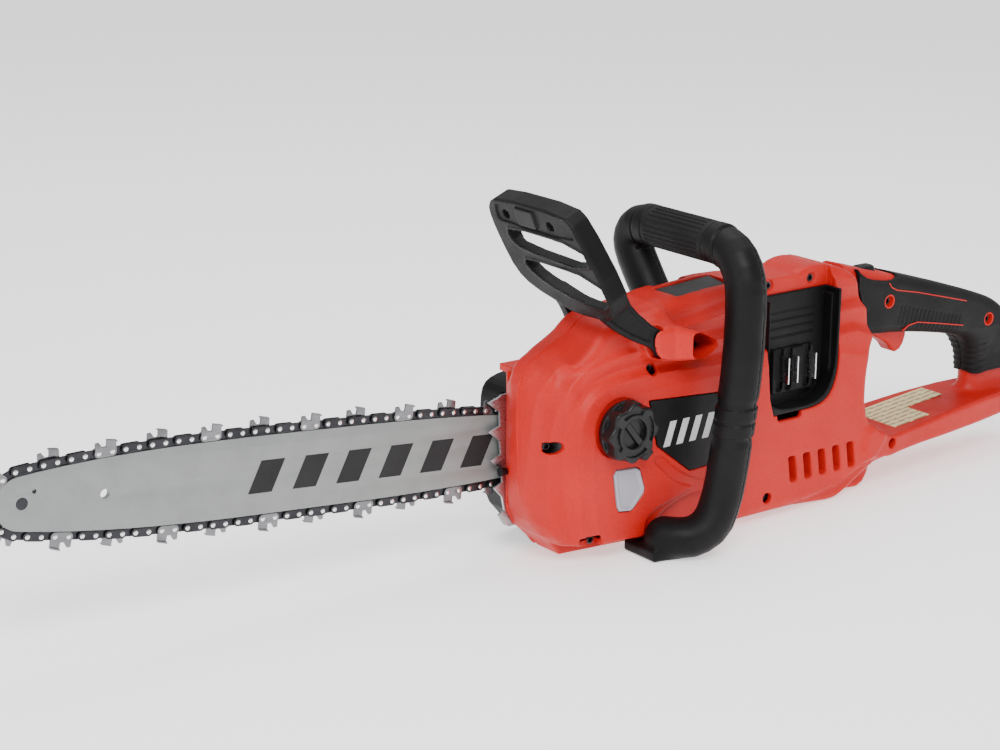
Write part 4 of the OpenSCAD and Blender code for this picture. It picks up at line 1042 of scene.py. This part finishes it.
# %% Bay trays and terminal blocks
TRAY = looped([(99.4, 300), (99.4, 100), (102, 88), (118, 83), (146, 83), (159, 89), (166, 104), (167.6, 124),
               (167.6, 300)], 1)
blades = [b for b in islands("terminal_blades") if (b[0][1] + b[1][1]) / 2 < MID]
BLADE_X = sorted({round((b[0][0] + b[1][0]) / 2, 1) for b in blades})
block_low, block_high = corners("terminal_blocks")
print("blades", BLADE_X)


def tray_field(x, y, z):
    f = np.maximum(box_of(x, y, z, tuple(liner_low), tuple(liner_high), 0.6), inside_of(BAY, x, z) + 0.1)
    f = cut(f, np.maximum(inside_of(TRAY, x, z), y - liner_high[1] + 2.4), 1.0)
    for rx in (101.2, 165.9):
        f = both(f, box_of(x, y, z, (rx - 1.2, liner_low[1] + 5, 100),
                           (rx + 1.2, liner_high[1] - 1, liner_high[2] - 4), 0.8), 0.6)
    for rz in (134, 140, 146, 152):
        f = both(f, box_of(x, y, z, (112, liner_high[1] - 3.2, rz), (155, liner_high[1] - 1, rz + 1.2), 0.5),
                 0.4)
    return cut(f, box_of(x, y, z, (block_low[0] + 0.1, -80, block_low[2] + 0.1),
                         (block_high[0] - 0.1, 0, block_high[2] - 0.1), 0.5), 0.3)


def block_field(x, y, z):
    f = box_of(x, y, z, tuple(block_low), (block_high[0], liner_high[1] - 0.2, block_high[2]), 1.2)
    for bx in BLADE_X:
        f = cut(f, box_of(x, y, z, (bx - 3.4, -90, block_low[2] + 5),
                          (bx + 3.4, block_low[1] + 3, block_high[2] + 6), 1.2), 0.6)
        f = cut(f, np.maximum(np.hypot(x - bx, z - block_low[2] - 5) - 3.4, y - block_low[1] - 3), 0.6)
    return f


tray = skin("left_bay_tray", liner_low, liner_high, STEP * 0.7, tray_field)
fit(tray, "housing", black_shell, "black_plastic", "left_bay_liner")
fit(mirrored(tray, "right_bay_tray"), "housing", black_shell, "black_plastic", "right_bay_liner")
block = skin("left_terminals", block_low, (block_high[0], liner_high[1], block_high[2]), STEP * 0.5,
             block_field)
fit(block, "housing", black_shell, "black_plastic", "terminal_blocks")
fit(mirrored(block, "right_terminals"), "housing", black_shell, "black_plastic", "terminal_blocks")

# %% [markdown]
# ## Sprocket cover
# The cover is a deep black moulding with a raised pad round the bar's nuts, cooling ribs behind it and
# a rolled edge. Its front is open for the bar and the chain.

# %% Cover
COVER_Y = corners("sprocket_cover")[1][1]
SIDE = looped([(-66, 8), (-85, 30), (-89, 60), (-89, 103), (-86, 115), (-77, 120), (-62, 122), (-40, 130),
               (67, 130), (67, 30), (50, 0), (-50, 0)], 1)
TILT = math.radians(5)


def on_bar(x, z):
    """Side view coordinates in the tilted bar's own frame, from the spindle."""
    return (x * math.cos(TILT) - (z - SPINDLE_Z) * math.sin(TILT), x * math.sin(TILT) + (z - SPINDLE_Z)
            * math.cos(TILT))


def cover_field(x, y, z):
    d = inside_of(SIDE, x, z)
    f = plate_of(d, y, FACE - 30, COVER_Y - 1.2, 4, 5)
    pad = inside_of(looped([(-80, 50), (-84, 92), (-30, 104), (20, 100), (34, 70), (20, 40), (-40, 34)], 1),
                    x, z)
    f = both(f, plate_of(pad, y, COVER_Y - 12, COVER_Y, 1.5), 1.5)
    b, h = on_bar(x, z)
    inner = np.maximum(d + WALL, y - COVER_Y + WALL + 1.2)
    f = np.maximum(f, -inner)
    f = both(f, np.maximum(np.maximum(np.abs(b + 63) - 21, np.abs(h) - 9), np.abs(y - 18) - 15.8), 0.5)
    f = cut(f, np.maximum(np.maximum(np.abs(b + 105) - 25, np.abs(h) - 36), y - 10), 1.0)
    for k in range(6):
        f = cut(f, box_of(x, y, z, (38 + 4.2 * k, COVER_Y - 2.0, 40), (40.4 + 4.2 * k, COVER_Y + 5, 120),
                          1.0), 0.8)
    f = cut(f, box_of(x, y, z, (62, FACE - 1, 20), (72, FACE + 23, 60), 1.0), 0.6)
    f = cut(f, box_of(x, y, z, (-56, -12, 118), (8, 4, 142), 1.0), 0.6)
    for sb in NUT_B:
        f = cut(f, np.hypot(b - sb, h) - 4.3, 0.6)
        f = cut(f, np.maximum(np.hypot(b - sb, h) - 9.5, COVER_Y - 1.0 - y), 0.6)
    return np.maximum(f, FACE + 0.3 - y)


NUT_B = sorted(float(on_bar((n[0][0] + n[1][0]) / 2, (n[0][2] + n[1][2]) / 2)[0])
               for n in islands("bar_nuts"))
print("nuts along the bar", NUT_B)
cover = skin("clutch_cover", (-90, FACE, 0), (68, COVER_Y, 131), STEP, cover_field)
fit(cover, "housing", black_shell, "black_plastic", "sprocket_cover")

# %% [markdown]
# ## Chain, bar and small metal parts
# Rivets are spun over in the factory, so their heads are low domes that each catch a highlight. The
# bar is painted a satin grey with a plain dark graphic, and its edges are ground bright.

# %% Spun parts
def spun(name, items, sides=20):
    """Solids of revolution about Y, each a centre and a list of (y, radius) from left to right."""
    verts, faces = [], []
    for cx, cz, rings in items:
        k = len(verts)
        for yy, rr in rings:
            verts += [(cx + rr * math.cos(2 * math.pi * i / sides), yy,
                       cz + rr * math.sin(2 * math.pi * i / sides)) for i in range(sides)]
        for j in range(len(rings) - 1):
            faces += [(k + j * sides + i, k + (j + 1) * sides + i, k + (j + 1) * sides + (i + 1) % sides,
                       k + j * sides + (i + 1) % sides) for i in range(sides)]
        faces += [tuple(range(k, k + sides)),
                  tuple(range(k + len(rings) * sides - 1, k + (len(rings) - 1) * sides - 1, -1))]
    return mesh_from(name, verts, faces, angle=40)


rivets = []
for lo, hi in islands("chain_rivets"):
    r = max((hi[0] - lo[0]) / 2, 1.6)
    rivets.append(((lo[0] + hi[0]) / 2, (lo[2] + hi[2]) / 2,
                   [(lo[1], 0.35 * r), (lo[1] + 0.1, 0.7 * r), (lo[1] + 0.32, r), (hi[1] - 0.32, r),
                    (hi[1] - 0.1, 0.7 * r), (hi[1], 0.35 * r)]))
fit(spun("rivet_heads", rivets, 18), "bar", rivet_steel, "bright_steel", "chain_rivets")

# Pan heads with a round socket
heads = [(sx, sz, [(y0 + 1.8, 0.2), (y0 + 1.8, 1.5), (y0 + 0.1, 1.7), (y0, 2.0), (y0, 2.8), (y0 + 0.5, 3.3),
                   (y0 + 2.6, 3.4), (y0 + 2.6, 1.9), (y1, 1.9)])
         for sx, sz, y0, y1 in SCREWS]
fit(spun("shell_screws", heads, 24), "housing", blued, "dark_steel", "housing_screws")

pins = []
for lo, hi in islands("guard_pins"):
    a, b = max(lo[1], LEFT - 10.4), hi[1]
    pins.append((PIVOT_X, PIVOT_Z, [(a, 3.4), (a + 0.5, 3.95), (b - 0.5, 3.95), (b, 3.4)]))
fit(spun("pivot_pins", pins, 32), "housing", bright, "bright_steel", "guard_pins")


# %% Oil tank, kept inside the round corner
def tank_field(x, y, z):
    f = box_of(x, y, z, tuple(tank_low), tuple(tank_high), 6.0)
    return np.maximum(f, body_half(x, y, z, -1) + WALL + 1.5)


tank_low, tank_high = corners("oil_tank")
fit(skin("tank_blow_moulding", tank_low, tank_high, STEP * 1.5, tank_field), "housing", dark_tank, "tank",
    "oil_tank")

# %% Stamped and turned parts
SOFT = [("guide_bar", "bar", bar_satin, "bar_paint", 0.5), ("chain_straps", "bar", blued, "dark_steel", 0.22),
        ("chain_drive_links", "bar", blued, "dark_steel", 0.2),
        ("chain_cutters", "bar", chrome, "bright_steel", 0.2),
        ("spike_bumper", "housing", spike_steel, "bright_steel", 0.3),
        ("bar_nuts", "housing", bright, "bright_steel", 0.4),
        ("bar_studs", "housing", bright, "bright_steel", 0.3),
        ("terminal_blades", "housing", tinned, "bright_steel", 0.25),
        ("cap_strap", "housing", gloss_black, "black_rubber", 0.3),
        ("chain_catcher", "housing", cast, "aluminium", 0.5),
        ("side_panel", "housing", black_shell, "black_plastic", 0.4),
        ("bar_plate", "bar", bright, "bright_steel", 0.3)]
for node, body, finish, slot_name, width in SOFT:
    softened(node, body, finish, slot_name, width)
fit(skin("top_plate", (24, -47, 172), (80, -18, 182), STEP * 0.5, lambda x, y,
         z: panel_seat(x, y, z, 0.0, 1.5, 0.0)), "housing", gloss_black, "black_plastic", "top_panel")
print("softened", len(SOFT))


# %% [markdown]
# ### Plain graphics
# The real object carries printed names here. They are left out, and plain slanted bars stand in
# for them, so the surfaces keep their printed look without any wording.

# %% Graphics
def on_bar_to_side(b, h):
    return b * math.cos(TILT) + h * math.sin(TILT), SPINDLE_Z - b * math.sin(TILT) + h * math.cos(TILT)


def slanted(x0, x1, z0, z1, lean):
    return [(x0, z0), (x1, z0), (x1 + lean, z1), (x0 + lean, z1)]


BAR_Y = corners("guide_bar")[0][1]
MARK_PITCH, MARK_WIDE = 34, 18
marks = [slanted(-300 + MARK_PITCH * k, -300 + MARK_WIDE + MARK_PITCH * k, -12, 10, 9) for k in range(6)]
bar_marks = blocks("bar_graphic", [[on_bar_to_side(*p) for p in m] for m in marks], BAR_Y - 0.06, BAR_Y + 0.3)
fit(bar_marks, "bar", bar_ink, "bar_paint")
PANEL_Y = corners("side_panel")[0][1]
badge = blocks("side_graphic", [slanted(-1 + 12 * k, 5 + 12 * k, 77, 95, 6) for k in range(4)],
               PANEL_Y - 0.12, PANEL_Y + 0.5)
fit(badge, "housing", pale_ink, "label")

# %% [markdown]
# ## Camera, light and floor
# The viewpoint is low over the bar's tip at a long focal length. Light is soft and frontal: one big
# panel high on the left, a wide fill, and a pale backdrop. The floor is plain.

# %% Camera
def place_camera():
    cam = bpy.data.cameras.new("camera")
    cam.sensor_width = 36
    cam.lens = 82.7
    cam.clip_end = 30
    o = bpy.data.objects.new("camera", cam)
    bpy.context.collection.objects.link(o)
    yaw, pitch, roll = (math.radians(a) for a in (36.75, 16.26, 0.43))
    d = Vector((math.sin(yaw) * math.cos(pitch), math.cos(yaw) * math.cos(pitch), -math.sin(pitch)))
    r = Vector((math.cos(yaw), -math.sin(yaw), 0))
    down = d.cross(r)
    cx = math.cos(roll) * r - math.sin(roll) * down
    cy = -(math.sin(roll) * r + math.cos(roll) * down)
    m = Matrix((cx, cy, -d)).transposed().to_4x4()
    m.translation = (-1.012, -1.228, 0.577)
    o.matrix_world = m
    bpy.context.scene.camera = o
    return o


camera = place_camera()


def area(name, at, to, size, power, colour=(1, 1, 1)):
    light = bpy.data.lights.new(name, "AREA")
    light.shape = "RECTANGLE"
    light.size, light.size_y = size
    light.energy = power
    light.color = colour
    o = bpy.data.objects.new(name, light)
    bpy.context.collection.objects.link(o)
    o.location = at
    o.rotation_euler = (Vector(to) - Vector(at)).to_track_quat("-Z", "Y").to_euler()
    return o


area("key", (-0.9, -1.5, 1.7), (0.0, 0, 0.08), (1.2, 0.8), 46)
area("fill", (-1.9, -0.4, 0.8), (0, 0, 0.1), (1.2, 1.2), 10)
area("top", (0.3, 0.3, 1.9), (0, 0, 0.1), (1.8, 1.2), 22)
world = bpy.data.worlds.new("studio")
world.use_nodes = True
world.node_tree.nodes["Background"].inputs["Color"].default_value = (0.93, 0.93, 0.94, 1)
world.node_tree.nodes["Background"].inputs["Strength"].default_value = 0.7
bpy.context.scene.world = world

# wide enough to fill the view, and just below the feet
FLOOR_HALF, FLOOR_Z = 30, -0.0006
floor_mesh = bpy.data.meshes.new("floor")
floor_mesh.from_pydata([(a * FLOOR_HALF, b * FLOOR_HALF, FLOOR_Z) for a,
                        b in ((-1, -1), (1, -1), (1, 1), (-1, 1))], [], [(0, 1, 2, 3)])
floor = bpy.data.objects.new("floor", floor_mesh)
bpy.context.collection.objects.link(floor)
floor_paint, floor_tree, floor_shader = new_finish("pale floor")
floor_tree.links.new(grey_ramp(floor_tree, noise(floor_tree, 1.5, 2), 0.3, 0.90, 0.7, 0.92),
                     floor_shader.inputs["Base Color"])
floor_shader.inputs["Roughness"].default_value = 0.8
floor_shader.inputs["Emission Color"].default_value = (1, 0.995, 0.99, 1)
floor_shader.inputs["Emission Strength"].default_value = 0.8
floor_mesh.materials.append(floor_paint)

# %% [markdown]
# ## Finishes on the CAD nodes that show as they are
# Cut, turned and stamped parts are already the right shape. They keep the CAD mesh and get their finish.

# %% CAD nodes
FINISHES = [
    (black_shell, "sprocket_cover side_panel left_bay_liner right_bay_liner terminal_blocks fan "
                  "hand_guard trigger_switch front_handle"),
    (gloss_black, "top_panel cap_strap oil_cap lock_button"),
    (tinned, "terminal_blades"),
    (tan_film, "rating_label"),
    (dark_tank, "oil_tank oil_filter oil_hose"),
    (window_frost, "oil_window"),
    (cast, "oil_pump gear_case chain_catcher"),
    (blued, "pump_gear stator rotor_core pinion drive_gear drive_sprocket brake_drum brake_link "
            "nose_sprocket chain_drive_links chain_straps tension_screw tension_pin housing_screws "
            "handle_screws"),
    (soft_black, "cap_gasket front_grip left_grip_cover right_grip_cover"),
    (copper, "windings"),
    (bright, "rotor_shaft spindle bearings brake_band guard_pins bar_studs bar_nuts bar_plate"),
    (red_shell, "trigger"),
    (board_green, "controller"),
    (red_wire, "wires"),
    (bar_satin, "guide_bar"),
    (chrome, "chain_cutters"),
    (rivet_steel, "chain_rivets"),
    (spike_steel, "spike_bumper"),
]
for finish, nodes in FINISHES:
    for node in nodes.split():
        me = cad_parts[node].data
        me.materials.clear()
        me.materials.append(finish)
print("nodes with a finish", sum(len(nodes.split()) for _, nodes in FINISHES))
